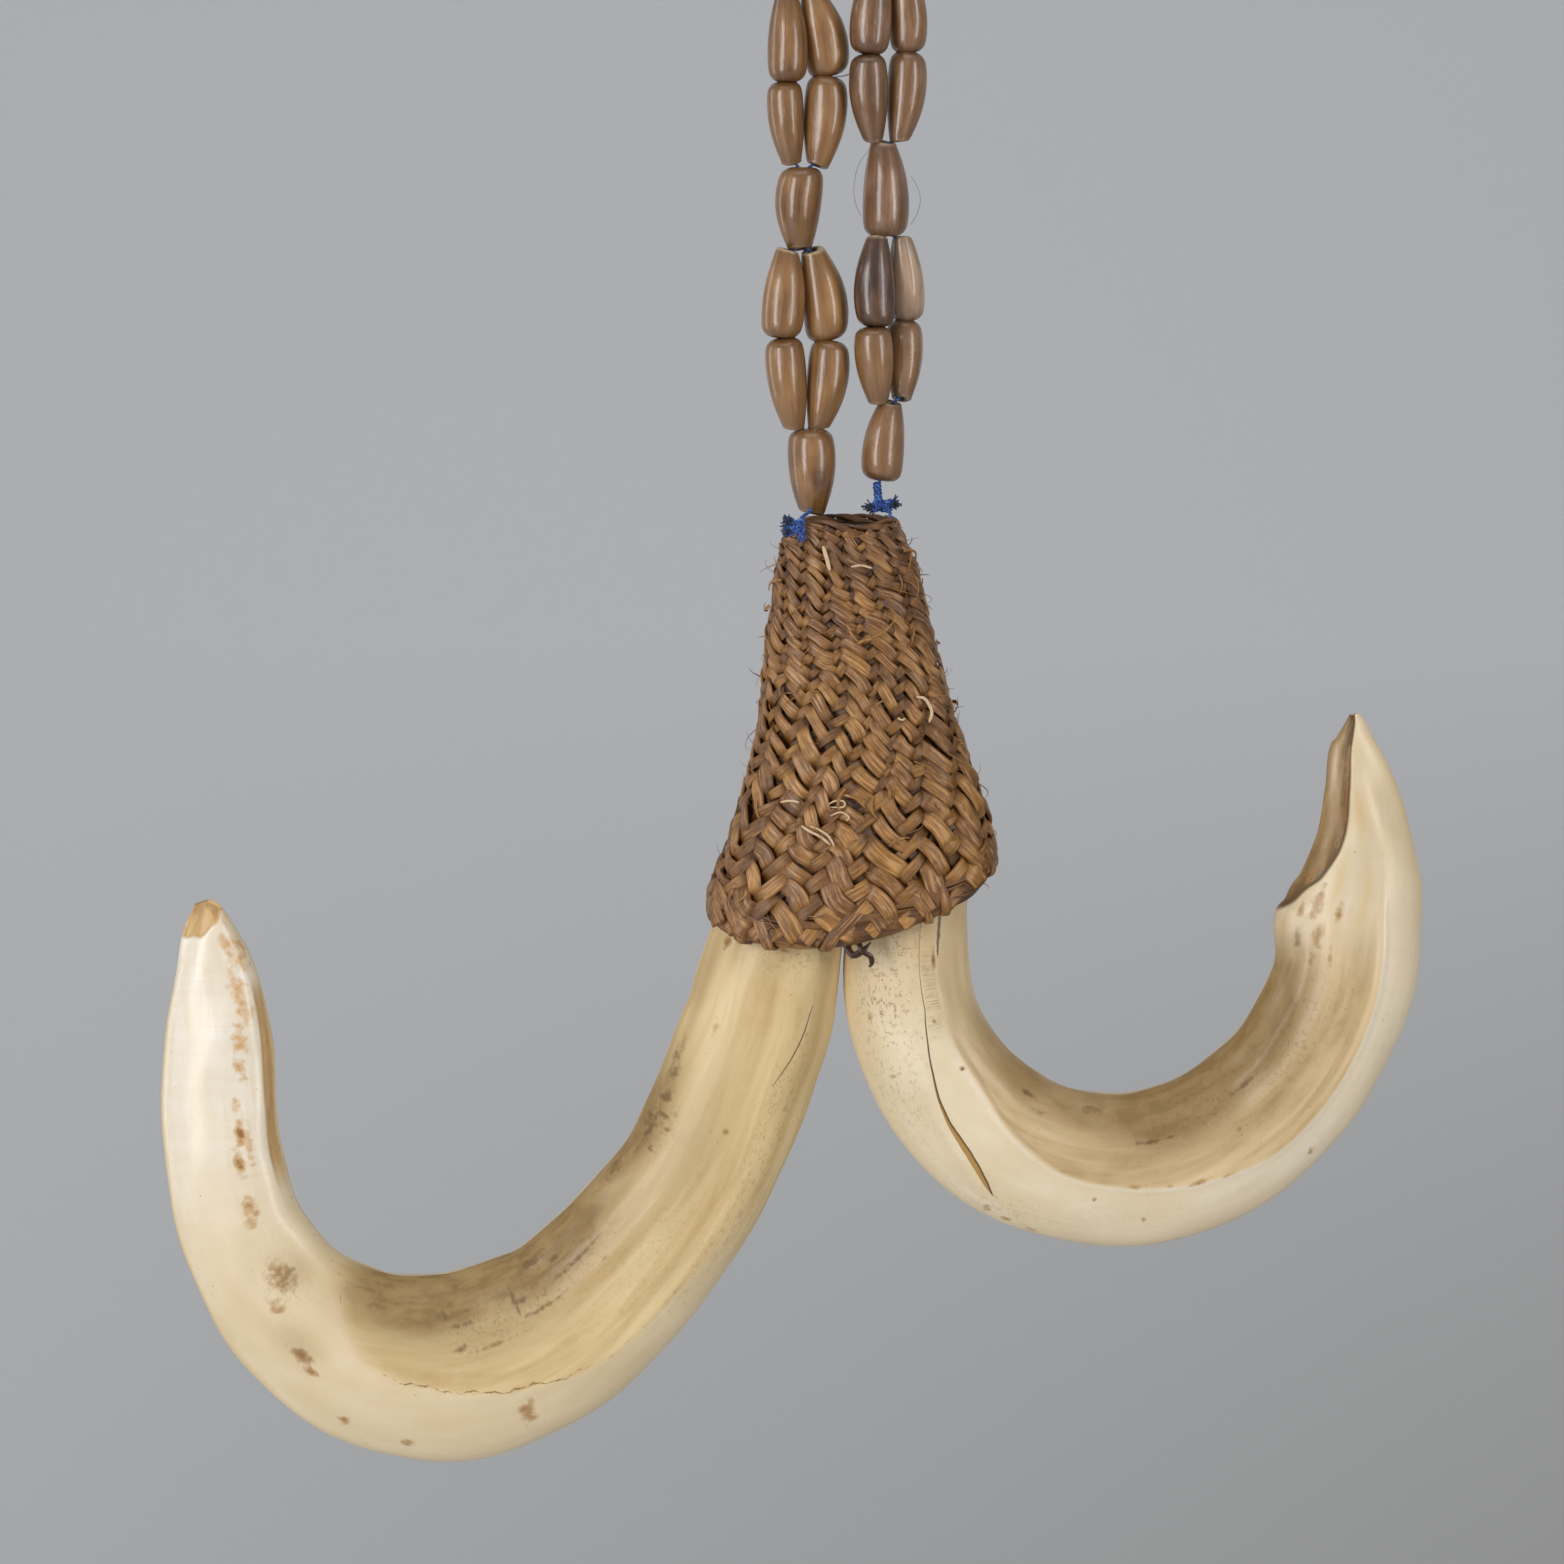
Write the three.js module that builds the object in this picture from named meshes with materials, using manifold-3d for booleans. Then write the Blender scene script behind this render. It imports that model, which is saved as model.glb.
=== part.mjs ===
// A hanging ornament of two curled boar tusks. Their bases sit side by side in a plaited fibre
// sleeve, and two strands of Job's-tears seeds rise from the sleeve to a knot and a hanging loop.
// Millimetres. X is to the right, Y goes away from the viewer, Z is up.
// The origin is the inside top of the hanging loop, the point that the ornament hangs by.
import * as THREE from 'three';
import { mergeVertices } from 'three/addons/utils/BufferGeometryUtils.js';
import Module from 'manifold-3d';

const wasm = await Module();
wasm.setup();

// Tusks. A station is a place along the tusk's centreline, from the root in the sleeve to the tip:
// x, z, the width across the curl, the depth from front to back, and where the front ridge
// runs, from -1 at the inside of the curl to 1 at the outside.
const LEFT_STATIONS = [
  [-6.4, -154, 15.4, 13.0, 0.7],
  [-9.2, -163, 17.6, 13.8, 0.7],
  [-11.6, -173, 20.2, 14.8, 0.7],
  [-13.9, -182, 21.6, 15.6, 0.7],
  [-22.3, -201.4, 22.4, 16.4, 0.7],
  [-36.1, -218.5, 25.0, 17.0, 0.66],
  [-46.1, -225.4, 26.8, 17.0, 0.5],
  [-57.4, -228.9, 27.8, 16.6, 0.15],
  [-69.6, -227.1, 25.4, 15.6, -0.05],
  [-79.8, -220.4, 21.8, 14.2, -0.8],
  [-86.4, -210.5, 18.5, 13.0, -0.95],
  [-89.4, -199.9, 17.2, 12.0, -0.95],
  [-90.3, -189.5, 16.4, 11.0, -0.95],
  [-90.2, -180, 15.2, 10.0, -0.95],
  [-90.5, -171.5, 12.0, 8.8, -0.9],
  [-91.1, -166.1, 8.8, 7.0, -0.8],
  [-91.6, -162.4, 5.4, 4.6, -0.5],
  [-92.2, -160.5, 2.3, 2.4, 0],
];
const RIGHT_STATIONS = [
  [10.6, -154, 15.4, 13.0, -0.45],
  [9.0, -163, 16.9, 13.6, -0.45],
  [8.7, -172, 18.3, 14.2, -0.45],
  [10.8, -181, 19.2, 14.7, -0.43],
  [15.5, -188.8, 20.4, 15.2, -0.38],
  [22.2, -195.2, 21.8, 15.6, -0.2],
  [30.9, -198.9, 21.8, 15.7, 0.03],
  [40.3, -199.9, 22.2, 15.8, 0.12],
  [49.4, -198, 22.4, 15.6, 0.24],
  [57.3, -193.4, 22.0, 15.2, 0.42],
  [63.7, -187.2, 21.3, 14.7, 0.46],
  [68.3, -179.9, 20.9, 14.1, 0.46],
  [71.4, -172.1, 20.5, 13.4, 0.44],
  [72.5, -163.7, 20.2, 12.6, 0.4],
  [73.7, -158, 17.8, 11.4, 0.35],
  [74.1, -151.2, 13.7, 9.2, 0.2],
  [73.4, -144.4, 10.4, 7.4, 0.1],
  [72.7, -139, 7.1, 5.6, 0],
  [72.6, -135.4, 3.6, 3.4, 0],
  [72.4, -133.6, 1.4, 1.5, 0],
];
const TUSK_STEPS_PER_STATION = 2;
const FRONT_POINTS = 7;
const BACK_POINTS = 6;
const DOME_POWER = 2.2;
const RIDGE_DEPTH = 0.34;
const LEFT_TIP_FORWARD = 4;
const RIGHT_TIP_FORWARD = 3;

// Sleeve. A level is z, the left side x, the right side x and the half depth.
const SLEEVE_LEVELS = [
  [-105.4, -8.6, 6.8, 6.2],
  [-112.6, -10.1, 10.1, 7.4],
  [-123, -11.6, 12.5, 8.2],
  [-134, -12.4, 15.4, 9.2],
  [-145, -14.8, 19.4, 10.6],
  [-153, -17.2, 21.4, 11.4],
  [-160, -19.8, 21.7, 11.8],
  [-168, -20.3, 21.7, 12.0],
];
const SLEEVE_WALL = 1.9;
const SLEEVE_CLEARANCE = 0.35;
const SLEEVE_TOP = -106;
const SLEEVE_RIM_LEFT = -163.4;
const SLEEVE_RIM_RIGHT = -155.8;
const SLEEVE_RIM_FRONT_DROP = 6.4;
const SLEEVE_RIM_DROP_POWER = 1.5;
const SLEEVE_COLUMNS = 36;
const SLEEVE_ROWS = 19;
const SLEEVE_INSIDE_ROWS = 5;
const SLEEVE_SQUARENESS = 2.3;
const PLAIT_RELIEF = 0.55;
const PLAIT_BAND = 3;
const PLAIT_FLOAT = 2;
const ROLLED_RIM_HEIGHT = 5;
const ROLLED_RIM_SWELL = 1.1;

// Beads. A row is a bead's name, its top x and z, its bottom x and z, how far its wide end stands
// back, its width and the end that is narrow.
const LEFT_BEADS = [
  ['bead_left_7', -5.6, -20.4, -6.4, -31.3, 0, 6.6, 'bottom'],
  ['bead_left_6a', -8.6, -31.9, -8.5, -43.9, -1.8, 5.7, 'top'],
  ['bead_left_6b', -5.0, -31.9, -2.7, -43, 1.8, 6.4, 'top'],
  ['bead_left_5a', -8.9, -44.4, -7.9, -55.3, -1, 5.3, 'bottom'],
  ['bead_left_5b', -2.9, -43.6, -4.2, -55.7, 1.2, 6.1, 'bottom'],
  ['bead_left_4', -6.3, -56.4, -6.7, -67.4, 0, 6.6, 'bottom'],
  ['bead_left_3a', -8.5, -68, -9.4, -79.9, -1.7, 6.1, 'top'],
  ['bead_left_3b', -4.9, -68, -2.9, -80.3, 1.7, 6.5, 'top'],
  ['bead_left_2a', -9.0, -80.5, -7.6, -92.7, -1.1, 5.9, 'bottom'],
  ['bead_left_2b', -2.4, -80.9, -4.0, -92.8, 1.1, 5.9, 'bottom'],
  ['bead_left_1', -5.2, -93.4, -5.0, -104.9, 0, 6.9, 'bottom'],
];
const RIGHT_BEADS = [
  ['bead_right_7', 5.0, -14.6, 5.8, -27.5, 0, 6.7, 'top'],
  ['bead_right_6a', 4.1, -28.1, 3.0, -40, -1.5, 5.8, 'top'],
  ['bead_right_6b', 7.8, -28.1, 8.6, -39.7, 1.6, 5.4, 'top'],
  ['bead_right_5a', 2.9, -40.6, 3.6, -52.2, -1.5, 5.4, 'bottom'],
  ['bead_right_5b', 8.6, -40.2, 7.4, -52.2, 1.6, 5.5, 'bottom'],
  ['bead_right_4', 5.1, -52.8, 5.4, -65.6, 0, 6.8, 'top'],
  ['bead_right_3a', 4.2, -66.3, 4.1, -78.3, -1.6, 5.8, 'top'],
  ['bead_right_3b', 7.8, -66.2, 8.6, -77.5, 3.4, 5.3, 'top'],
  ['bead_right_2a', 3.6, -78.9, 4.4, -89, -1.6, 5.6, 'bottom'],
  ['bead_right_2b', 8.2, -78.1, 7.8, -88.7, 3.4, 5.3, 'bottom'],
  ['bead_right_1', 6.2, -89.6, 4.9, -100.2, 0, 6.2, 'top'],
];
const BEAD_SEGMENTS = 9;
// A seed's outline from its narrow cut end to its wide end: height and radius, each as a share.
const SEED_OUTLINE = [
  [0, 0.46],
  [0.3, 0.8],
  [0.62, 1],
  [0.86, 0.9],
  [1, 0.46],
];

// Thread, knots and loop.
const THREAD_RADIUS = 0.28;
const THREAD_CLEARANCE = 0.3;
const THREAD_SIDES = 5;
const THREAD_INSET = 0.7;
const KNOT_GAP = 0.7;
const THREAD_LEAN = 0.9;
const LEFT_KNOT = [-7.4, -6.6, -106.8, 1.7];
const LEFT_THREAD_OVER_RIM = [[-5.0, -0.6, -105.3], [-6.6, -4.8, -105.3]];
const RIGHT_UPPER_KNOT = [4.4, 0, -102.2, 1.0];
const RIGHT_LOWER_KNOT = [5.0, 0, -104.1, 1.6];
const TOP_KNOT = [-0.2, 0, -10.4, 1.8];
const LOOP_RADIUS = 0.5;
const LOOP_HALF_WIDTH = 3.6;
const LOOP_SIDES = 7;
const LOOP_STEPS = 16;

const ivory = 0xe2cfa4;
const paleIvory = 0xe6d8b6;
const fibreBrown = 0x8a6845;
const seedBrown = 0x8f6d47;
const seedGreyBrown = 0x7a604e;
const threadBlue = 0x2b4f9c;
const IVORY_ROUGHNESS = 0.35;
const FIBRE_ROUGHNESS = 0.8;
const THREAD_ROUGHNESS = 0.7;
const SEED_ROUGHNESS = 0.25;
const ROOT_STATIONS = 4;

// A mesh of one closed body from a list of rings that all have the same number of points. Where
// the rings are a closed band, the last one joins the first; otherwise both ends get a cap.
function loft(rings, closedBand) {
  const sides = rings[0].length;
  const positions = rings.flat().flatMap((p) => [p.x, p.y, p.z]);
  const index = [];
  const bands = closedBand ? rings.length : rings.length - 1;
  for (let i = 0; i < bands; i += 1) {
    const next = (i + 1) % rings.length;
    for (let j = 0; j < sides; j += 1) {
      const k = (j + 1) % sides;
      const a = i * sides + j;
      const b = i * sides + k;
      const c = next * sides + k;
      const d = next * sides + j;
      index.push(a, b, c, a, c, d);
    }
  }
  if (!closedBand) {
    for (const [ring, start, flip] of [[rings[0], 0, true], [rings.at(-1), rings.length - 1, false]]) {
      const middle = new THREE.Vector3();
      ring.forEach((p) => middle.add(p));
      middle.divideScalar(sides);
      const centre = positions.length / 3;
      positions.push(middle.x, middle.y, middle.z);
      for (let j = 0; j < sides; j += 1) {
        const a = start * sides + j;
        const b = start * sides + ((j + 1) % sides);
        index.push(centre, flip ? b : a, flip ? a : b);
      }
    }
  }
  const geometry = new THREE.BufferGeometry();
  geometry.setAttribute('position', new THREE.Float32BufferAttribute(positions, 3));
  geometry.setIndex(index);
  return geometry;
}

// A geometry as a solid for joins and cuts, and back.
function solid(geometry) {
  const bare = geometry.clone();
  bare.deleteAttribute('normal');
  bare.deleteAttribute('uv');
  const merged = mergeVertices(bare, 1e-4);
  const vertProperties = new Float32Array(merged.attributes.position.array);
  const triVerts = new Uint32Array(merged.index.array);
  return new wasm.Manifold(new wasm.Mesh({ numProp: 3, vertProperties, triVerts }));
}

function surface(manifold) {
  const { vertProperties, triVerts } = manifold.getMesh();
  const geometry = new THREE.BufferGeometry();
  geometry.setAttribute('position', new THREE.BufferAttribute(vertProperties, 3));
  geometry.setIndex(new THREE.BufferAttribute(triVerts, 1));
  return geometry;
}

function piece(name, geometry, color, roughness) {
  const material = new THREE.MeshStandardMaterial({ color, roughness, metalness: 0 });
  const mesh = new THREE.Mesh(geometry, material);
  mesh.name = name;
  return mesh;
}

// One cross-section of a tusk, in shares of its half width and half depth. The front is a dome
// with a crease at the ridge, and the back is a plain dome.
function tuskSection(ridge) {
  const points = [];
  for (let i = 0; i < FRONT_POINTS; i += 1) {
    const across = -Math.cos((Math.PI * (i + 0.5)) / FRONT_POINTS);
    const dome = (1 - Math.abs(across) ** DOME_POWER) ** (1 / DOME_POWER);
    const crease = 1 - (RIDGE_DEPTH * Math.abs(across - ridge)) / (1 + Math.abs(ridge));
    points.push([across, dome * crease]);
  }
  for (let i = 0; i < BACK_POINTS; i += 1) {
    const across = Math.cos((Math.PI * (i + 0.5)) / BACK_POINTS);
    const dome = (1 - Math.abs(across) ** DOME_POWER) ** (1 / DOME_POWER);
    points.push([across, -dome * (1 - RIDGE_DEPTH / 2)]);
  }
  return points;
}

// A tusk follows its stations. turn is 1 where the curl goes anticlockwise from root to tip, as the
// right tusk does, and -1 where it goes clockwise. A clearance makes it larger all round.
function tusk(stations, turn, tipForward, clearance) {
  const path = new THREE.CatmullRomCurve3(stations.map(([x, z]) => new THREE.Vector3(x, 0, z)));
  const sizes = new THREE.CatmullRomCurve3(stations.map(([, , w, d, r]) => new THREE.Vector3(w, d, r)));
  const steps = (stations.length - 1) * TUSK_STEPS_PER_STATION;
  const rings = [];
  for (let i = 0; i <= steps; i += 1) {
    const t = i / steps;
    const middle = path.getPoint(t);
    const along = path.getTangent(t);
    const outward = new THREE.Vector3(along.z, 0, -along.x).multiplyScalar(turn);
    const [width, depth, ridge] = sizes.getPoint(t).toArray();
    const forward = tipForward * t * t;
    const ring = tuskSection(Math.max(-1, Math.min(1, ridge))).map(([across, front]) => {
      const point = middle.clone().addScaledVector(outward, across * (width / 2 + clearance));
      point.y = -front * (depth / 2 + clearance) - forward;
      return point;
    });
    if (turn < 0) {
      ring.reverse();
    }
    rings.push(ring);
  }
  return loft(rings, false);
}

// The sleeve's outer form at a height: a point of its section at an angle, moved in by an inset.
function sleevePoint(z, angle, inset) {
  const last = SLEEVE_LEVELS.length - 1;
  let k = 0;
  while (k < last - 1 && SLEEVE_LEVELS[k + 1][0] > z) {
    k += 1;
  }
  const [upper, lower] = [SLEEVE_LEVELS[k], SLEEVE_LEVELS[k + 1]];
  const share = Math.max(0, Math.min(1, (upper[0] - z) / (upper[0] - lower[0])));
  const [, left, right, halfDepth] = upper.map((v, i) => v + (lower[i] - v) * share);
  const halfWidth = (right - left) / 2 - inset;
  const c = Math.cos(angle);
  const s = Math.sin(angle);
  const n = SLEEVE_SQUARENESS;
  const round = (Math.abs(c) ** n + Math.abs(s) ** n) ** (-1 / n);
  return new THREE.Vector3((left + right) / 2 + halfWidth * c * round, (halfDepth - inset) * s * round, z);
}

// The lower rim dips in front and is higher on the right.
function rimHeight(angle) {
  const across = (1 + Math.cos(angle)) / 2;
  const front = Math.max(0, -Math.sin(angle));
  const side = SLEEVE_RIM_LEFT + (SLEEVE_RIM_RIGHT - SLEEVE_RIM_LEFT) * across;
  return side - SLEEVE_RIM_FRONT_DROP * front ** SLEEVE_RIM_DROP_POWER;
}

// The sleeve: plaited outside with a rolled rim, plain inside, open at both ends.
function sleeve() {
  const rings = [];
  const repeat = 2 * PLAIT_FLOAT;
  for (let i = 0; i <= SLEEVE_ROWS; i += 1) {
    const ring = [];
    for (let j = 0; j < SLEEVE_COLUMNS; j += 1) {
      const angle = (2 * Math.PI * j) / SLEEVE_COLUMNS;
      const bottom = rimHeight(angle);
      const z = SLEEVE_TOP + ((bottom - SLEEVE_TOP) * i) / SLEEVE_ROWS;
      const up = z - bottom;
      const roll = Math.max(0, 1 - Math.abs(up / ROLLED_RIM_HEIGHT - 0.5) * 2);
      const slant = Math.floor(i / PLAIT_BAND) % 2 === 0 ? j + i : j - i + SLEEVE_ROWS * repeat;
      const plait = slant % repeat < PLAIT_FLOAT ? PLAIT_RELIEF : -PLAIT_RELIEF;
      const inset = -ROLLED_RIM_SWELL * roll - (i > 0 && i < SLEEVE_ROWS ? plait : 0);
      ring.push(sleevePoint(z, angle, inset));
    }
    rings.push(ring);
  }
  for (let i = SLEEVE_INSIDE_ROWS; i >= 0; i -= 1) {
    const ring = [];
    for (let j = 0; j < SLEEVE_COLUMNS; j += 1) {
      const angle = (2 * Math.PI * j) / SLEEVE_COLUMNS;
      const bottom = rimHeight(angle);
      const z = SLEEVE_TOP + ((bottom - SLEEVE_TOP) * i) / SLEEVE_INSIDE_ROWS;
      ring.push(sleevePoint(z, angle, SLEEVE_WALL));
    }
    rings.push(ring);
  }
  return loft(rings.map((ring) => ring.reverse()), true);
}

// A path through points in order, sampled at those points. Its sections are level, as suits a
// thread that hangs, or else square to the mean direction at each point.
class PointPath extends THREE.Curve {
  constructor(points, level) {
    super();
    this.points = points;
    this.level = level;
  }

  getUtoTmapping(u) {
    return u;
  }

  getPoint(t) {
    const last = this.points.length - 1;
    const i = Math.min(Math.floor(t * last), last - 1);
    return this.points[i].clone().lerp(this.points[i + 1], t * last - i);
  }

  getTangent(t) {
    const last = this.points.length - 1;
    const i = Math.round(t * last);
    const before = this.points[Math.max(0, i - 1)];
    const after = this.points[Math.min(last, i + 1)];
    const arriving = this.points[i].clone().sub(before).normalize();
    const leaving = after.clone().sub(this.points[i]).normalize();
    return arriving.add(leaving).normalize();
  }

  computeFrenetFrames(steps, closed) {
    const frames = super.computeFrenetFrames(steps, closed);
    if (this.level) {
      frames.normals.forEach((normal) => normal.set(1, 0, 0));
      frames.binormals.forEach((binormal) => binormal.set(0, -1, 0));
    }
    return frames;
  }
}

function tube(points, radius, sides, level) {
  const section = new THREE.Shape();
  for (let i = 0; i < sides; i += 1) {
    const angle = (2 * Math.PI * i) / sides;
    const corner = [radius * Math.cos(angle), radius * Math.sin(angle)];
    if (i === 0) {
      section.moveTo(...corner);
    } else {
      section.lineTo(...corner);
    }
  }
  const extrudePath = new PointPath(points, level);
  return new THREE.ExtrudeGeometry(section, { extrudePath, steps: points.length - 1 });
}

// A bead's two ends. The wide end carries the whole of the set-back, and the narrow end none.
function beadEnds([, topX, topZ, bottomX, bottomZ, back, , narrow]) {
  const top = new THREE.Vector3(topX, narrow === 'top' ? back / 2 : back, topZ);
  const bottom = new THREE.Vector3(bottomX, narrow === 'bottom' ? back / 2 : back, bottomZ);
  return [top, bottom];
}

function bead(row) {
  const [top, bottom] = beadEnds(row);
  const [from, to] = row[7] === 'top' ? [top, bottom] : [bottom, top];
  const length = from.distanceTo(to);
  const profile = SEED_OUTLINE.map(([h, r]) => new THREE.Vector2((r * row[6]) / 2, h * length));
  profile.unshift(new THREE.Vector2(0, 0));
  profile.push(new THREE.Vector2(0, length));
  const seed = new THREE.LatheGeometry(profile, BEAD_SEGMENTS);
  const along = to.clone().sub(from).normalize();
  seed.applyQuaternion(new THREE.Quaternion().setFromUnitVectors(new THREE.Vector3(0, 1, 0), along));
  seed.translate(from.x, from.y, from.z);
  return seed;
}

// The way of one thread down a strand: through every single bead and one bead of each pair.
function threadPoints(rows, letter, start) {
  const points = [start];
  for (const row of rows) {
    const single = /\d$/.test(row[0]);
    if (!single && !row[0].endsWith(letter)) {
      continue;
    }
    const [top, bottom] = beadEnds(row);
    const inset = top.clone().sub(bottom).normalize().multiplyScalar(THREAD_INSET);
    points.push(top.sub(inset), bottom.add(inset));
  }
  return points;
}

function knot([x, y, z, radius]) {
  const lump = new THREE.IcosahedronGeometry(radius, 1);
  lump.translate(x, y, z);
  return solid(lump);
}

// Both threads of a strand as one solid, with their way from the last bead to the knot. A wider one
// cuts the bores of the beads.
function strandThreads(rows, start, ends, radius) {
  const [a, b] = ['a', 'b'].map((letter) => threadPoints(rows, letter, start));
  const down = [a, b].map((way) => solid(tube(way, radius, THREAD_SIDES, true)));
  const tail = solid(tube([a.at(-1), ...ends], radius, THREAD_SIDES, false));
  return down[0].add(down[1]).add(tail);
}

const at = ([x, y, z]) => new THREE.Vector3(x, y, z);
const underKnot = (side) => at([TOP_KNOT[0] + side, 0, TOP_KNOT[2] - TOP_KNOT[3] - KNOT_GAP]);

const ornament = new THREE.Group();
ornament.add(piece('tusk_left', tusk(LEFT_STATIONS, -1, LEFT_TIP_FORWARD, 0), paleIvory, IVORY_ROUGHNESS));
ornament.add(piece('tusk_right', tusk(RIGHT_STATIONS, 1, RIGHT_TIP_FORWARD, 0), ivory, IVORY_ROUGHNESS));

// The plaiting gives way to the tusks where they press on it.
const leftRoot = solid(tusk(LEFT_STATIONS.slice(0, ROOT_STATIONS), -1, 0, SLEEVE_CLEARANCE));
const rightRoot = solid(tusk(RIGHT_STATIONS.slice(0, ROOT_STATIONS), 1, 0, SLEEVE_CLEARANCE));
const pressed = solid(sleeve()).subtract(leftRoot).subtract(rightRoot);
ornament.add(piece('plaited_sleeve', surface(pressed), fibreBrown, FIBRE_ROUGHNESS));

for (const [side, rows, colour, way, knots, lean] of [
  ['left', LEFT_BEADS, seedBrown, LEFT_THREAD_OVER_RIM, [LEFT_KNOT], -THREAD_LEAN],
  ['right', RIGHT_BEADS, seedGreyBrown, [], [RIGHT_UPPER_KNOT, RIGHT_LOWER_KNOT], THREAD_LEAN],
]) {
  const start = underKnot(lean);
  const ends = [...way, knots[0]].map(at);
  let thread = strandThreads(rows, start, ends, THREAD_RADIUS);
  const bores = strandThreads(rows, start, ends, THREAD_RADIUS + THREAD_CLEARANCE);
  for (const one of knots) {
    thread = thread.add(knot(one));
  }
  ornament.add(piece(`thread_${side}`, surface(thread), threadBlue, THREAD_ROUGHNESS));
  for (const row of rows) {
    ornament.add(piece(row[0], surface(solid(bead(row)).subtract(bores)), colour, SEED_ROUGHNESS));
  }
}

// The hanging loop rises from the top knot and closes at the origin.
const loopPoints = [];
for (let i = 0; i <= LOOP_STEPS; i += 1) {
  const angle = -Math.PI / 2 + (2 * Math.PI * i) / LOOP_STEPS;
  const height = TOP_KNOT[2] + ((LOOP_RADIUS - TOP_KNOT[2]) * (1 + Math.sin(angle))) / 2;
  const across = TOP_KNOT[0] * (1 - i / LOOP_STEPS) + LOOP_HALF_WIDTH * Math.cos(angle);
  loopPoints.push(at([across, 0, height]));
}
const loop = solid(tube(loopPoints, LOOP_RADIUS, LOOP_SIDES, false)).add(knot(TOP_KNOT));
ornament.add(piece('hanging_loop', surface(loop), threadBlue, THREAD_ROUGHNESS));

export default ornament;
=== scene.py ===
# %% [markdown]
# # A hanging ornament of two boar tusks
# Two curled tusks sit side by side in a plaited fibre sleeve, under two strands of seed beads.
# The frame that is loaded here has every piece at its real size and place, in metres. This
# lesson dresses it: each step makes one piece or one finish and puts it where the frame has it.

# %% Load the frame
import math
from functools import partial

import bpy
import numpy as np
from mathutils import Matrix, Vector


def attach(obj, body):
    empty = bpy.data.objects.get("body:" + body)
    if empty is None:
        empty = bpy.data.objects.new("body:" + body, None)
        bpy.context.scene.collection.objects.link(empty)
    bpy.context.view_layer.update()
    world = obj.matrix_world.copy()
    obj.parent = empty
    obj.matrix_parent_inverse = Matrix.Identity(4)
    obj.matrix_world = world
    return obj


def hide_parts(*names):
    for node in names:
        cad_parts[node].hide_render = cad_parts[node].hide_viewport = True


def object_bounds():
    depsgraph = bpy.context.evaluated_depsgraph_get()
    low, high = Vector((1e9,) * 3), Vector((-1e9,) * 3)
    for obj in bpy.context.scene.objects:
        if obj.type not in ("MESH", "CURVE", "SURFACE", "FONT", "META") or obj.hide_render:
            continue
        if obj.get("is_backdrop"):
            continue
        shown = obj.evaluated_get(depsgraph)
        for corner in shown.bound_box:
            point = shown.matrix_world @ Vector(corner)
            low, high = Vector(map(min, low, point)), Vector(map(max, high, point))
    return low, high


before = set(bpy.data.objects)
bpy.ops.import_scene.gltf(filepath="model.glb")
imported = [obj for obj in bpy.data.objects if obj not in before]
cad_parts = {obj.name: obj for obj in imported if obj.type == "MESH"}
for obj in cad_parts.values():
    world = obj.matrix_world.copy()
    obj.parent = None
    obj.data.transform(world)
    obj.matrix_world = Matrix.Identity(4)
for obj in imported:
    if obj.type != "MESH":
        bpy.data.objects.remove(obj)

MM = 0.001
BODY = "root"
cad_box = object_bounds()
print("frame", {name: round(float(v), 4) for name, v in zip("xyz", cad_box[1] - cad_box[0])})

# %% [markdown]
# ## Helpers for meshes and nodes
# Most pieces here are swept: a row of rings, each with the same number of points. One function
# turns such a grid of points into a smooth mesh, and can keep numbers on its points, such as how
# far along the tusk a point is. Materials read those numbers, so a stain stays on the surface.

# %% Mesh helpers
def smooth_mesh(name, points, faces, marks=None):
    """A smooth mesh in millimetres, with named numbers or vectors on its points."""
    mesh = bpy.data.meshes.new(name)
    mesh.from_pydata((np.asarray(points) * MM).tolist(), [], faces)
    mesh.polygons.foreach_set("use_smooth", np.ones(len(mesh.polygons), bool))
    for key, values in (marks or {}).items():
        values = np.asarray(values, np.float32)
        kind, field = ("FLOAT", "value") if values.ndim == 1 else ("FLOAT_VECTOR", "vector")
        mesh.attributes.new(key, kind, "POINT").data.foreach_set(field, values.ravel())
    mesh.update()
    piece = bpy.data.objects.new(name, mesh)
    bpy.context.scene.collection.objects.link(piece)
    return piece


def grid_faces(rows, columns, closed_rows=False, start=0):
    """Faces between rows of points that each close on themselves."""
    i = np.arange(rows if closed_rows else rows - 1)[:, None]
    j = np.arange(columns)[None, :]
    k = (j + 1) % columns
    n = (i + 1) % rows
    quads = np.stack([i * columns + j, i * columns + k, n * columns + k, n * columns + j], -1)
    return (quads.reshape(-1, 4) + start).tolist()


def cap_faces(rows, columns, start=0):
    """One face over each end of an open grid."""
    first = list(range(start, start + columns))[::-1]
    last = list(range(start + (rows - 1) * columns, start + rows * columns))
    return [first, last]


def dress(piece, slot, material, *nodes):
    """A piece rides on the body, has a finish, and stands for the nodes that it covers."""
    piece.data.materials.clear()
    piece.data.materials.append(material)
    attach(piece, BODY)
    if nodes:
        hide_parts(*nodes)
    return piece


# %% [markdown]
# ## Helpers for finishes
# A finish is a small graph of nodes that ends in one surface shader. Its colours are written as
# sRGB hex values and turned to linear light by one function. One function adds a node, and
# another lays coats of colour over each other, as stains and dirt lie on a real surface.


# %% Colour and node helpers
def linear(hex_colour, alpha=1.0):
    """An sRGB hex colour as linear light."""
    channels = [int(hex_colour[i:i + 2], 16) / 255 for i in (1, 3, 5)]
    light = [c / 12.92 if c <= 0.04045 else ((c + 0.055) / 1.055) ** 2.4 for c in channels]
    return (*light, alpha)


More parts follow.
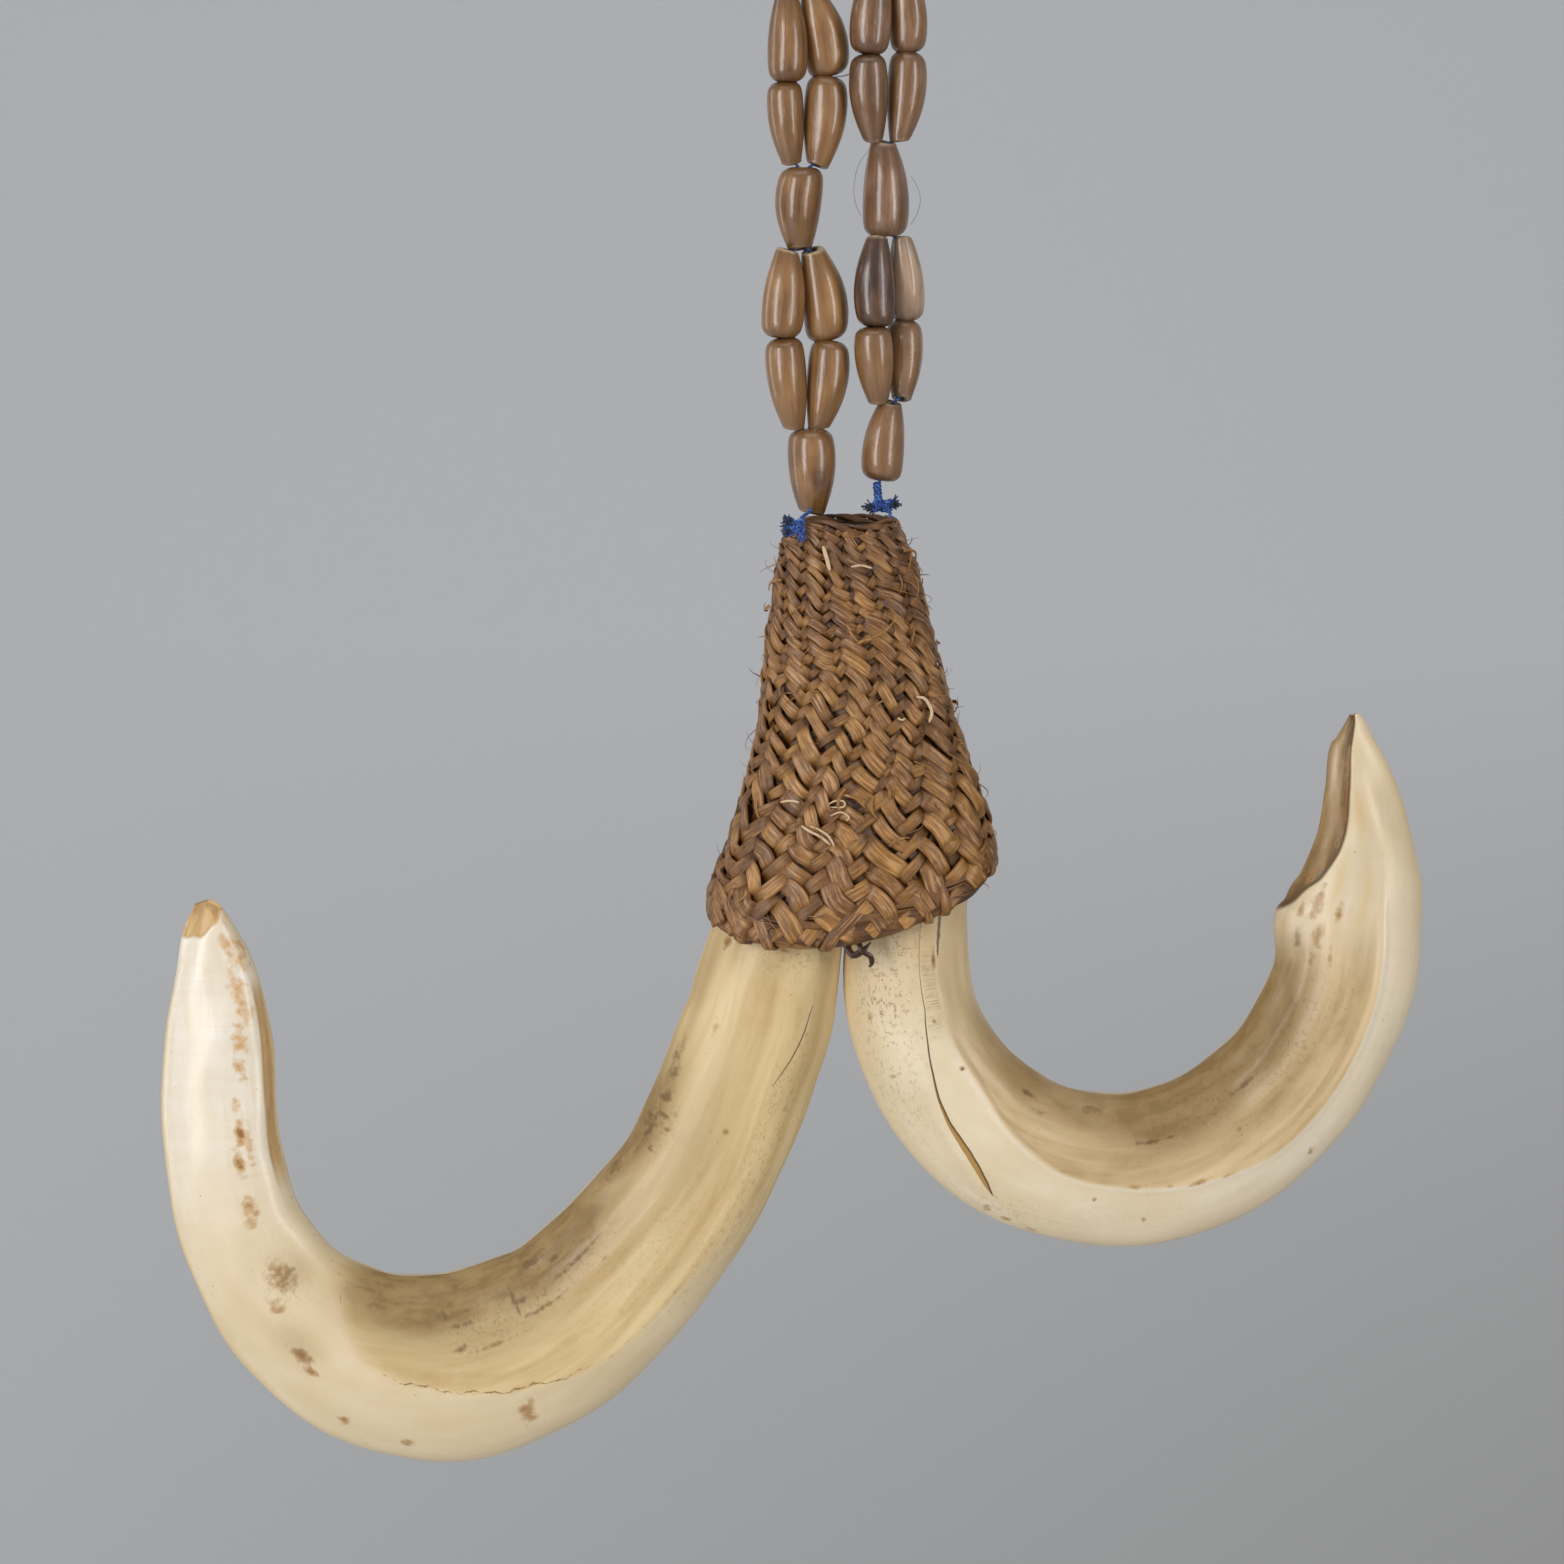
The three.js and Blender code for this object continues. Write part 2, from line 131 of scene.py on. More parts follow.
def add(tree, kind, inputs=(), out=0, **settings):
    """Adds a node with its settings, and values or links on its inputs. Gives one output."""
    node = tree.nodes.new("ShaderNode" + kind)
    for key, value in settings.items():
        setattr(node, key, value)
    for key, value in inputs.items() if isinstance(inputs, dict) else enumerate(inputs):
        if isinstance(value, bpy.types.NodeSocket):
            tree.links.new(value, node.inputs[key])
        else:
            node.inputs[key].default_value = value
    return node.outputs[out]


def new_finish(name):
    """A new material, its surface shader, and the function that adds a node to it."""
    material = bpy.data.materials.new(name)
    material.use_nodes = True
    tree = material.node_tree
    return material, tree.nodes["Principled BSDF"], partial(add, tree)


def as_light(colour):
    return linear(colour) if isinstance(colour, str) else colour


def coats(node, base, *layers):
    """Coats of colour over a base. Each is how much of it covers, from 0 to 1, and its colour."""
    for cover, colour in layers:
        inputs = {0: cover, 6: as_light(base), 7: as_light(colour)}
        base = node("Mix", inputs, out=2, data_type="RGBA")
    return base


def set_stops(ramp, stops):
    """The places and colours of a colour ramp, from its low end up."""
    elements = ramp.node.color_ramp.elements
    while len(elements) < len(stops):
        elements.new(0.5)
    for element, (place, colour) in zip(elements, stops):
        element.position = place
        element.color = linear(colour)


def stretched_noise(node, vector, stretch, scale=1.0, detail=4, roughness=0.55, distortion=0.0):
    """Noise that is drawn out: a small stretch along an axis makes long streaks that way."""
    place = node("Mapping", {"Vector": vector, "Scale": stretch})
    return node("TexNoise", {
        "Vector": place, "Scale": scale, "Detail": detail, "Roughness": roughness,
        "Distortion": distortion})


print("one function adds every node")

# %% [markdown]
# ## The camera
# A long lens stands three quarters of a metre in front of the ornament and a little above it, so
# that the curls look as flat as they do in a product picture.

# %% Camera
CAMERA_DISTANCE = 750 * MM
CAMERA_RISE = math.radians(6)
LOOK_AT = Vector((-9.25, 0, -143.7)) * MM
SEEN_WIDTH = 224.3 * MM
SENSOR_WIDTH = 36

lens_data = bpy.data.cameras.new("camera")
lens_data.sensor_width = SENSOR_WIDTH
lens_data.lens = SENSOR_WIDTH * CAMERA_DISTANCE / SEEN_WIDTH
camera = bpy.data.objects.new("camera", lens_data)
bpy.context.scene.collection.objects.link(camera)
away = Vector((0, -math.cos(CAMERA_RISE), math.sin(CAMERA_RISE)))
camera.location = LOOK_AT + away * CAMERA_DISTANCE
camera.rotation_euler = (-away).to_track_quat("-Z", "Y").to_euler()
bpy.context.scene.camera = camera
print("lens", round(lens_data.lens, 1), "mm")

# %% [markdown]
# ## Tusks
# A boar's lower tusk is a curled tooth that is roughly three-sided. A ridge runs down its front,
# between hard pale enamel on the outside of the curl and softer, darker dentine on the inside.
# Each tusk is swept along its curl. A station gives the middle of the tusk, its width across the
# curl, its depth, and where the ridge runs, from -1 at the inside to 1 at the outside.

# %% Tusk stations
LEFT_STATIONS = [
    (-6.3, -154, 15.6, 13.0, 0.7), (-9.05, -163, 17.9, 13.8, 0.7), (-11.45, -173, 20.5, 14.8, 0.7),
    (-13.9, -182, 21.6, 15.6, 0.7), (-22.3, -201.4, 22.4, 16.4, 0.7), (-36.1, -218.5, 25.0, 17.0, 0.58),
    (-46.1, -225.4, 26.8, 17.0, 0.38), (-57.4, -228.9, 27.8, 16.6, 0.15),
    (-69.6, -227.1, 25.4, 15.6, -0.05), (-79.8, -220.4, 21.8, 14.2, -0.8),
    (-86.4, -210.5, 18.5, 13.0, -0.95), (-89.4, -199.9, 17.2, 12.0, -0.95),
    (-90.3, -189.5, 16.4, 11.0, -0.95), (-90.2, -180, 15.2, 10.0, -0.95),
    (-90.5, -171.5, 12.0, 8.8, -0.9), (-91.1, -166.1, 8.8, 7.0, -0.8), (-91.6, -162.4, 5.4, 4.6, -0.5),
    (-92.2, -160.5, 2.3, 2.4, 0),
]
RIGHT_STATIONS = [
    (10.5, -154, 15.6, 13.0, -0.45), (8.9, -163, 17.1, 13.6, -0.45), (8.7, -172, 18.3, 14.2, -0.45),
    (10.8, -181, 19.2, 14.7, -0.43), (15.5, -188.8, 20.4, 15.2, -0.38), (22.2, -195.2, 21.8, 15.6, -0.2),
    (30.9, -198.9, 21.8, 15.7, 0.03), (40.3, -199.9, 22.2, 15.8, 0.12), (49.4, -198, 22.4, 15.6, 0.24),
    (57.3, -193.4, 22.0, 15.2, 0.42), (63.7, -187.2, 21.3, 14.7, 0.46), (68.3, -179.9, 20.9, 14.1, 0.46),
    (71.4, -172.1, 20.5, 13.4, 0.44), (72.5, -163.7, 20.2, 12.6, 0.4), (73.7, -158, 17.8, 11.4, 0.3),
    (74.1, -151.2, 13.7, 9.2, 0.18), (73.4, -144.4, 10.4, 7.4, -0.15), (72.7, -139, 7.1, 5.6, -0.3),
    (72.6, -135.4, 3.6, 3.4, 0), (72.4, -133.6, 1.4, 1.5, 0),
]
TUSK_ROWS = 470
TUSK_COLUMNS = 206
FRONT_SHARE = 0.68
DOME_POWER = 2.2
RIDGE_DEPTH = 0.34
RIDGE_ROUNDING = 0.05
LEFT_TIP_FORWARD = 4
RIGHT_TIP_FORWARD = 3


def spline(knots, count):
    """Even steps along a smooth curve through every knot."""
    knots = np.asarray(knots, float)
    ends = np.vstack([2 * knots[0] - knots[1], knots, 2 * knots[-1] - knots[-2]])
    t = np.linspace(0, len(knots) - 1, count)
    i = np.minimum(t.astype(int), len(knots) - 2)
    f = (t - i)[:, None]
    p0, p1, p2, p3 = (ends[i + k] for k in range(4))
    bend = 2 * p0 - 5 * p1 + 4 * p2 - p3
    return p1 + 0.5 * f * (p2 - p0 + f * (bend + f * (3 * (p1 - p2) + p3 - p0)))


def rounded(share):
    """A sine or cosine, squared off a little, so that the tusk is fuller than an oval."""
    return np.sign(share) * np.abs(share) ** (2 / DOME_POWER)


def tusk_surface(stations, turn, tip_forward, rows=TUSK_ROWS, columns=TUSK_COLUMNS):
    """Points of a tusk on a grid, with how far along and how far round each one is."""
    line = spline(stations, rows)
    middle, width, depth, ridge = line[:, :2], line[:, 2], line[:, 3], np.clip(line[:, 4], -1, 1)
    along = np.gradient(middle, axis=0)
    along /= np.linalg.norm(along, axis=1)[:, None]
    outward = np.stack([along[:, 1], -along[:, 0]], 1) * turn
    # Round goes from the middle of the back, at -2, by the inside of the curl, at -1, the front,
    # at 0, and the outside, at 1, to the middle of the back again.
    ring = np.linspace(0, 1, columns, endpoint=False)
    side_share = (1 - FRONT_SHARE) / 2
    round_ = np.interp(ring, (0, side_share, 1 - side_share, 1), (-2, -1.02, 1.02, 2))[None, :]
    s, c = np.sin(round_ * math.pi / 2), np.cos(round_ * math.pi / 2)
    across, dome = rounded(s), rounded(c)
    off_ridge = np.sqrt((across - ridge[:, None]) ** 2 + RIDGE_ROUNDING ** 2) - RIDGE_ROUNDING
    front = 1 - RIDGE_DEPTH * off_ridge / (1 + np.abs(ridge[:, None]))
    crease = np.where(c > 0, front, 1 - RIDGE_DEPTH / 2)
    share = np.linspace(0, 1, rows)[:, None]
    x = middle[:, :1] + outward[:, :1] * across * width[:, None] / 2
    z = middle[:, 1:] + outward[:, 1:] * across * width[:, None] / 2
    y = -dome * crease * depth[:, None] / 2 - tip_forward * share ** 2
    step = np.linalg.norm(np.diff(middle, axis=0), axis=1)
    length = np.concatenate([[0], np.cumsum(step)])[:, None]
    points = np.stack([x, y, z], -1)
    return points, length + 0 * round_, round_ + 0 * length, width, ridge


# %% [markdown]
# ## Wear and age on the tusks
# A boar whets its tusks on each other and digs with them, so they are scuffed, stained, cracked
# and worn to facets. Painted pictures could show this, but they would need to be wrapped round
# the curl. Here each mark is a number on the points of the tusk instead, so it follows the curl.
# A place is given in millimetres along the middle of the tusk from its root, and across from -1
# at the inside of the curl to 1 at the outside. A crack is kept as the distance to its line,
# because the line then stays sharper than the mesh is fine.


# %% Ways to place a mark
def ramp(value, low, high):
    """A smooth step from 0 to 1."""
    t = np.clip((value - low) / (high - low), 0, 1)
    return t * t * (3 - 2 * t)


def between(value, low, full, fading, gone):
    """1 from one place to another, with a smooth step at each end."""
    return ramp(value, low, full) * (1 - ramp(value, fading, gone))


def bump_at(length, across, half, places):
    """Soft patches. Each is a place along and across, its size along and across in millimetres,
    and its weight."""
    total = 0 * length
    for at_length, at_across, long_, wide, weight in places:
        reach = ((length - at_length) / long_) ** 2 + ((across - at_across) * half / wide) ** 2
        total = np.maximum(total, weight * np.exp(-reach))
    return total


def beside(length, across, half, way):
    """How far each point is to one side of a line on the tusk, in millimetres."""
    way = np.asarray(way, float)
    at_across = np.interp(length, way[:, 0], way[:, 1])
    slope = np.interp(length, way[:, 0], np.gradient(way[:, 1], way[:, 0]))
    return (across - at_across) * half / np.sqrt(1 + (slope * half) ** 2)


def line_half(length, way, sizes, front):
    """Half the width of a line at each point. It is less than nothing where there is no line."""
    size = np.interp(length, np.asarray(way, float)[:, 0], sizes, left=-1, right=-1)
    return np.where(front > 0.5, size, -1)


# %% Where the marks are
# Each row of a list is a place along and across, a size along and across, and a weight.
# The left tusk has brown mottles on its white face, and dark nicks and dashes further down.
LEFT_MOTTLES = [
    (175.6, -0.72, 2.6, 1.3, 0.75), (171.3, -0.5, 2.6, 1.2, 0.7), (163.9, -0.46, 2.4, 1.2, 0.8),
    (160.4, -0.42, 1.4, 1.0, 0.7), (167.5, -0.55, 1.5, 0.7, 0.5), (150.2, -0.4, 2.6, 0.8, 1.0),
    (145.6, -0.33, 2.2, 0.9, 0.95), (154.5, -0.36, 1.4, 0.7, 0.6), (138.8, -0.34, 1.7, 1.1, 0.9),
    (136.4, -0.3, 0.9, 1.2, 0.7), (126.9, -0.3, 2.6, 2.0, 0.85), (123.6, 0.02, 1.6, 1.2, 0.6),
    (116.6, 0.28, 1.7, 0.9, 1.1), (114.6, 0.38, 1.1, 0.8, 1.0), (108.4, 0.72, 0.8, 0.7, 0.95),
    (101.1, 0.74, 0.7, 0.6, 0.8), (87.6, 0.59, 1.0, 1.3, 1.1), (86.6, 0.48, 0.5, 0.6, 0.9),
    (81.9, -0.53, 1.6, 0.5, 0.9), (93.4, -0.27, 1.2, 0.5, 0.9), (169.0, -0.62, 3.6, 1.5, 0.62),
    (177.6, -0.5, 1.6, 1.5, 0.5), (158.5, -0.5, 1.6, 0.9, 0.5), (148.0, -0.52, 4.0, 0.7, 0.6),
    (39.5, -0.79, 1.2, 0.6, 0.8), (40.9, 0.08, 0.5, 0.5, 1.0), (45.0, -0.84, 2.2, 0.8, 0.75),
    (35.5, -0.82, 1.6, 0.7, 0.7), (12.6, -0.3, 0.5, 2.6, 0.7), (13.4, 0.1, 0.4, 2.2, 0.6),
    (12.4, -0.7, 0.6, 1.2, 0.9), (55.0, -0.9, 3.5, 0.8, 0.6), (96.0, -0.62, 2.5, 0.8, 0.5),
    (14.6, -0.73, 0.9, 0.45, 1.3), (27.0, -0.55, 2.2, 0.5, 0.5), (33.0, -0.86, 3.0, 0.7, 0.6),
    (38.0, -0.72, 0.3, 0.6, 1.2), (40.0, -0.8, 0.3, 0.8, 1.3), (41.5, -0.6, 0.25, 0.5, 1.1),
    (42.6, -0.74, 0.3, 0.7, 1.3), (44.3, -0.62, 0.25, 0.6, 1.1), (46.2, -0.78, 0.3, 0.9, 1.3),
    (48.4, -0.7, 0.3, 0.5, 1.1), (43.2, -0.9, 0.5, 0.4, 1.2), (78.0, -0.35, 5.0, 0.35, 0.8),
    (70.0, -0.52, 6.0, 0.3, 0.7), (88.0, -0.22, 6.0, 0.3, 0.6), (82.6, -0.52, 0.3, 2.4, 0.9),
    (76.0, -0.82, 3.0, 0.5, 0.9), (72.0, -0.7, 1.6, 0.4, 0.9), (66.0, -0.3, 2.4, 0.3, 0.6),
    (92.0, -0.5, 3.0, 0.35, 0.7),
]
# Stains on the left tusk. The rows on the inner edge at 100, 104 and 112 mm also paint the shade of the
# hollow there.
LEFT_STAINS_AND_SHADE = [
    (100, -0.7, 16, 4.8, 1.0), (75, -0.75, 16, 5.2, 0.95), (104, -0.9, 12, 2.6, 1.2),
    (62, -0.4, 14, 4.0, 0.3), (88, -0.35, 18, 3.5, 0.45), (112, -0.75, 8, 3.2, 0.6),
    (47, -0.2, 14, 4.5, 0.35), (45, -0.92, 14, 2.6, 0.8), (126, -0.5, 4, 3.0, 0.35),
    (118, 0.2, 4, 3.0, 0.3), (20, -0.9, 8, 1.6, 0.5), (25, 0.75, 12, 2.0, 0.35),
]
# The right tusk has mottles below its worn facet, and dark streaks on the facet.
RIGHT_MOTTLES = [
    (33.3, -0.36, 0.35, 0.35, 1.5), (119.5, -0.6, 1.7, 0.9, 0.9), (115.9, -0.5, 1.9, 0.8, 0.8),
    (112.4, -0.55, 1.2, 0.6, 0.6), (51.0, 0.9, 0.7, 0.4, 0.7), (53.6, 0.92, 1.2, 0.4, 0.5),
    (48.4, 0.86, 0.5, 0.5, 0.9), (22.3, 0.65, 0.5, 0.35, 0.9), (17.0, 0.45, 0.3, 0.8, 0.7),
    (27.0, 0.2, 0.3, 0.7, 0.6), (29.6, 0.55, 0.35, 0.9, 0.7), (24.4, -0.3, 0.35, 0.3, 1.0),
    (60.4, 0.3, 0.3, 0.4, 0.8), (88.0, 0.75, 0.6, 0.5, 0.9), (66.5, 0.6, 0.3, 0.5, 0.7),
    (84.0, -0.1, 3.0, 0.4, 0.5), (49.0, -0.6, 1.8, 0.45, 0.6), (58.0, -0.82, 2.2, 0.5, 0.6),
    (14.4, -0.43, 1.6, 0.3, 1.3), (118.6, -0.78, 1.1, 0.5, 0.9), (121.4, -0.6, 1.7, 0.5, 0.85),
    (119.2, -0.28, 1.5, 0.55, 0.8), (115.0, -0.75, 1.6, 0.5, 0.8), (137.0, -0.5, 4.0, 0.3, 1.4),
    (133.0, -0.56, 2.6, 0.25, 1.2), (127.0, -0.74, 2.2, 0.35, 1.1), (141.8, -0.4, 2.5, 0.2, 1.1),
    (130.0, -0.62, 1.0, 0.3, 1.3), (123.4, -0.84, 1.6, 0.4, 1.1), (66.0, 0.11, 1.6, 0.3, 0.8),
    (70.3, 0.17, 1.2, 0.3, 0.7), (74.5, 0.23, 1.8, 0.3, 0.8), (78.5, 0.31, 1.4, 0.28, 0.75),
    (113.2, -0.3, 2.0, 0.4, 0.6), (45.0, -0.75, 2.4, 0.3, 1.1), (70.0, -0.42, 3.5, 0.3, 0.9),
    (88.0, -0.5, 4.0, 0.35, 0.8),
]
RIGHT_STAINS = [
    (76, -0.62, 15, 4.2, 1.25), (96, -0.68, 13, 4.4, 1.1), (84, -0.9, 18, 2.6, 1.4),
    (58, -0.75, 10, 3.0, 0.5), (42, -0.85, 9, 2.4, 0.5), (30, -0.9, 8, 2.0, 0.4),
    (108, -0.8, 8, 3.0, 0.5), (132, 0.1, 14, 9, 0.2), (83, -0.15, 16, 1.6, 0.35),
    (20, -0.55, 12, 1.8, 0.3),
]
# Painted highlights and pale patches on the right tusk: the row at 88.5 mm and the rows at 125 to 133 mm
# are painted highlights.
RIGHT_PALE_AND_HIGHLIGHT_PATCHES = [
    (88.5, 0.62, 6.0, 1.1, 0.9), (79.0, 0.5, 6.0, 1.0, 0.5), (40.0, 0.1, 9.0, 1.2, 0.4),
    (133, 0.0, 3.0, 0.45, 0.9), (129, 0.12, 3.0, 0.45, 0.9), (125, 0.2, 3.0, 0.45, 0.8),
    (122, -0.2, 5.0, 0.6, 0.8),
]
RIGHT_TAN_PATCHES = [
    (137, 0.2, 5, 2.2, 1.0), (131.5, 0.45, 1.2, 1.8, 0.8), (142, 0.1, 4, 1.6, 0.6),
    (134, -0.15, 2.8, 0.9, 2.0), (130, 0.36, 6, 0.7, 1.2), (124, -0.4, 5, 0.6, 1.4),
    (122, 0.05, 5, 0.5, 1.2), (118, -0.25, 4, 0.5, 1.0),
]
RIGHT_SPLINTER = [(140, -0.84, 4.5, 0.4, 0.8)]
# A crack is a row of places along and across, and half its width in millimetres at each.
RIGHT_CRACK = [
    (8, -0.19), (16, -0.2), (22.3, -0.2), (27, -0.1), (31.7, 0.04), (35.1, 0.17), (38.6, 0.27),
    (41, 0.31), (43.2, 0.36), (45.2, 0.44), (47.1, 0.56), (48.4, 0.66),
]
RIGHT_CRACK_HALF = (0.02, 0.03, 0.06, 0.1, 0.13, 0.18, 0.28, 0.38, 0.44, 0.4, 0.3, 0.04)
RIGHT_SLIT = [(4.5, -0.52), (8, -0.5), (12, -0.5), (14.5, -0.5)]
RIGHT_SLIT_HALF = (0.08, 0.24, 0.22, 0.06)
LEFT_CRACK = [(20, 0.68), (24, 0.62), (28, 0.54), (32.4, 0.43)]
LEFT_CRACK_HALF = (0.03, 0.07, 0.07, 0.03)
RIGHT_FACET_EDGE = (
    (116.8, -1.05), (119.5, -0.86), (124, -0.66), (128.5, -0.5), (134, -0.38), (139, -0.3), (146, -0.16),
    (149, 0.1),
)
# Where the surface is scuffed with fine curved scratches.
LEFT_SCUFFS = [
    (8, -0.75, 6, 4.5, 1.0), (14, 0.2, 3, 7, 0.6), (45, -0.85, 6, 3.0, 0.9), (75, -0.6, 12, 4.0, 0.8),
    (88, -0.5, 9, 4.0, 0.7), (60, 0.1, 14, 4.0, 0.3), (52, 0.7, 16, 2.5, 0.5), (36, 0.6, 12, 2.5, 0.6),
    (126, -0.2, 5, 3.0, 0.5),
]
RIGHT_SCUFFS = [
    (10, 0.15, 7, 3.0, 1.0), (20, 0.4, 9, 4.0, 0.95), (30, 0.6, 9, 4.0, 0.5), (78, -0.6, 14, 4.0, 0.7),
    (98, -0.4, 12, 4.0, 0.6), (50, 0.8, 6, 2.5, 0.5), (66, 0.5, 12, 3.0, 0.12),
]
LIST_COUNT = len(LEFT_MOTTLES) + len(RIGHT_MOTTLES) + len(LEFT_STAINS_AND_SHADE) + len(RIGHT_STAINS)
print(LIST_COUNT, "mottles and stains")

# %% [markdown]
# ## Growth bands
# A tusk grows in layers, and its dentine shows them as shallow bands along the tusk. They are
# 3.6 mm apart here, and stand up by less than a tenth of a millimetre.

# %% Marks of the left tusk
BAND_WIDTH = 3.6
BACK_FADE = (-0.1, 0.4)
DEEPEST_WEAR = 4


def growth_bands(off, length, sway, sway_length):
    return np.cos(off * 2 * math.pi / BAND_WIDTH + sway * np.sin(length / sway_length))


def left_marks(length, across, off, half, front):
    """The marks of the left tusk, and how far its surface is lifted, in millimetres."""
    # Enamel lies outside the ridge. Its edge is sharp near the root and soft further on.
    soft = np.interp(length, (0, 95, 108, 128), (0.5, 0.6, 2.4, 3.4))
    inner = ramp(-off / soft, -0.5, 1.0) * front
    enamel = (1 - inner) * ramp(length, 44, 66) * np.where(front > 0.5, 1, ramp(across, *BACK_FADE))
    # Painted shade: the dentine is darkened towards the inner edge, for the hollow of the curl, and the
    # stain mark carries it.
    inner_edge_painted_shade = ramp(-across, 0.25, 1.0) * between(length, 24, 50, 112, 126)
    stain = bump_at(length, across, half, LEFT_STAINS_AND_SHADE) * front + 0.5 * inner * inner_edge_painted_shade
    # The tip is worn off at a slant, and a narrow face is worn on its inside.
    tip_reach = 4.9 - 2.5 * np.maximum(0, 0.3 - across) - 0.4 * np.maximum(0, across - 0.3)
    tip_in = length - length.max() + tip_reach + 0.12 * np.sin(across * 9)
    tip = ramp(tip_in, -0.3, 0.3)
    facet = between(length, 139, 146, 169, 173) * ramp(-across, 0.82, 0.88) * front
    worn_in = np.where(facet > 0.1, DEEPEST_WEAR, np.clip(3.4 - 0.5 * tip_in, 0, DEEPEST_WEAR))
    # A painted golden highlight along the outer edge of the curl, where its rim catches the side light.
    painted_rim_glint = ramp(across, 0.9, 0.985) * between(length, 96, 130, 168, 178) * front
    # A broken line of dirt wanders along the edge of the enamel.
    dirt = off + 0.4 + 0.2 * np.sin(length * 0.9) + 0.13 * np.sin(length * 2.3 + 1)
    dirt = dirt + 0.08 * np.sin(length * 5.1)
    dirt_half = 0.15 * between(length, 76, 84, 101, 106) + 0.05 * np.sin(length * 2.1) - 0.06
    bands = growth_bands(off, length, 0.4, 9) * inner * between(length, 44, 62, 88, 100)
    ridge_edge = np.exp(-(off / 0.8) ** 2) * between(length, 52, 66, 96, 106) * front
    lift = -0.45 * tip * front - 0.25 * facet + 0.07 * bands + 0.12 * ridge_edge
    return {
        "enamel": enamel,
        "white": ramp(length, 122, 160) * enamel,
        "stain": np.clip(stain, 0, 1),
        "spot": bump_at(length, across, half, LEFT_MOTTLES) * front,
        "wear": np.maximum(tip, facet),
        "worn_in": worn_in,
        "crack": beside(length, across, half, LEFT_CRACK),
        "crack_half": line_half(length, LEFT_CRACK, LEFT_CRACK_HALF, front),
        "slit": dirt,
        "slit_half": np.where(front > 0.5, dirt_half, -1),
        "scuff": bump_at(length, across, half, LEFT_SCUFFS) * front,
        "hatch": 0 * length,
        "yellow": 1.4 * painted_rim_glint + 0.2 * (1 - ramp(length, 30, 62)),
    }, lift


# %% Marks of the right tusk
def right_marks(length, across, off, half, front):
    """The marks of the right tusk, and how far its surface is lifted, in millimetres."""
    inner = ramp(-off, -0.2, 0.4) * front
    outer = (1 - inner) * np.where(front > 0.5, 1, ramp(across, *BACK_FADE)) * ramp(length, 2, 24)
    enamel = outer + inner * (0.5 - 0.5 * ramp(length, 14, 44) + 0.85 * ramp(length, 108, 122))
    # The long facet that the upper tusk has worn: it begins with a step at its lower end.
    boundary = np.interp(length, *np.array(RIGHT_FACET_EDGE).T)
    worn_in = (boundary - across) * half
    facet = ramp(worn_in, -0.1, 0.4) * ramp(length, 117.2, 118.4) * np.where(front > 0.2, 1, 0.7)
    facet = facet * (across < 0.3)
    splinter = bump_at(length, across, half, RIGHT_SPLINTER)
    # Painted shade: the dentine is darkened towards the inner edge, for the hollow of the curl, and the
    # stain mark carries it.
    inner_edge_painted_shade = ramp(-across, 0.3, 1.0) * between(length, 18, 45, 108, 120)
    stain = bump_at(length, across, half, RIGHT_STAINS) * front + 0.5 * inner * inner_edge_painted_shade
    # One side of the open crack has sprung up.
    crack = beside(length, across, half, RIGHT_CRACK)
    raised = np.exp(-((crack - 1.1) / 1.2) ** 2) * (crack > 0) * between(length, 26, 38, 46, 50)
    bands = growth_bands(off, length, 0.5, 11) * inner * between(length, 30, 50, 112, 120)
    # The ridge is a fine raised line with a groove inside it.
    on_ridge = between(length, 20, 40, 112, 128) * front
    ridge_line = 0.22 * np.exp(-(off / 0.6) ** 2) - 0.14 * np.exp(-((off + 1.3) / 0.6) ** 2)
    at_edge = ramp(-across, 0.55, 1.0)
    step = 0.75 * between(length, 112, 117.4, 117.8, 119.2)
    step = step + 0.35 * between(length, 138, 143.4, 143.8, 144.8)
    lift = 0.3 * raised * front + 0.09 * bands + ridge_line * on_ridge
    lift = lift - 0.5 * facet * (1 - at_edge) + at_edge * step
    white = 0.45 * ramp(length, 60, 90) * (1 - 0.7 * ramp(length, 106, 128)) * enamel
    # Painted highlight: a bright line just outside the crest of the ridge.
    white = white + 0.8 * np.exp(-((off - 0.35) / 0.35) ** 2) * on_ridge
    # Painted highlights and pale patches from the list above.
    white = white + bump_at(length, across, half, RIGHT_PALE_AND_HIGHLIGHT_PATCHES) * front
    hatched = between(-crack, 0.1, 0.5, 2.0, 2.6) * between(length, 12, 15, 24, 28)
    yellow = 0.35 * ramp(across, 0.75, 1.0) + 0.2 * ramp(length, 116, 130)
    yellow = yellow + 0.6 * bump_at(length, across, half, RIGHT_TAN_PATCHES) * front
    yellow = yellow + 0.5 * (1 - ramp(length, 12, 34))
    return {
        "enamel": enamel,
        "white": np.clip(white, 0, 1),
        "stain": np.clip(stain, 0, 1),
        "spot": bump_at(length, across, half, RIGHT_MOTTLES) * front,
        "wear": facet * (1 - 0.8 * splinter),
        "worn_in": np.clip(worn_in + 0.3 * ramp(length, 120, 132), 0, DEEPEST_WEAR),
        "crack": -crack,
        "crack_half": line_half(length, RIGHT_CRACK, RIGHT_CRACK_HALF, front),
        "slit": beside(length, across, half, RIGHT_SLIT),
        "slit_half": line_half(length, RIGHT_SLIT, RIGHT_SLIT_HALF, front),
        "scuff": bump_at(length, across, half, RIGHT_SCUFFS) * front,
        "hatch": hatched * front,
        "yellow": yellow,
    }, lift


# %% Make the tusks
GRAIN_SPREAD = 1.3


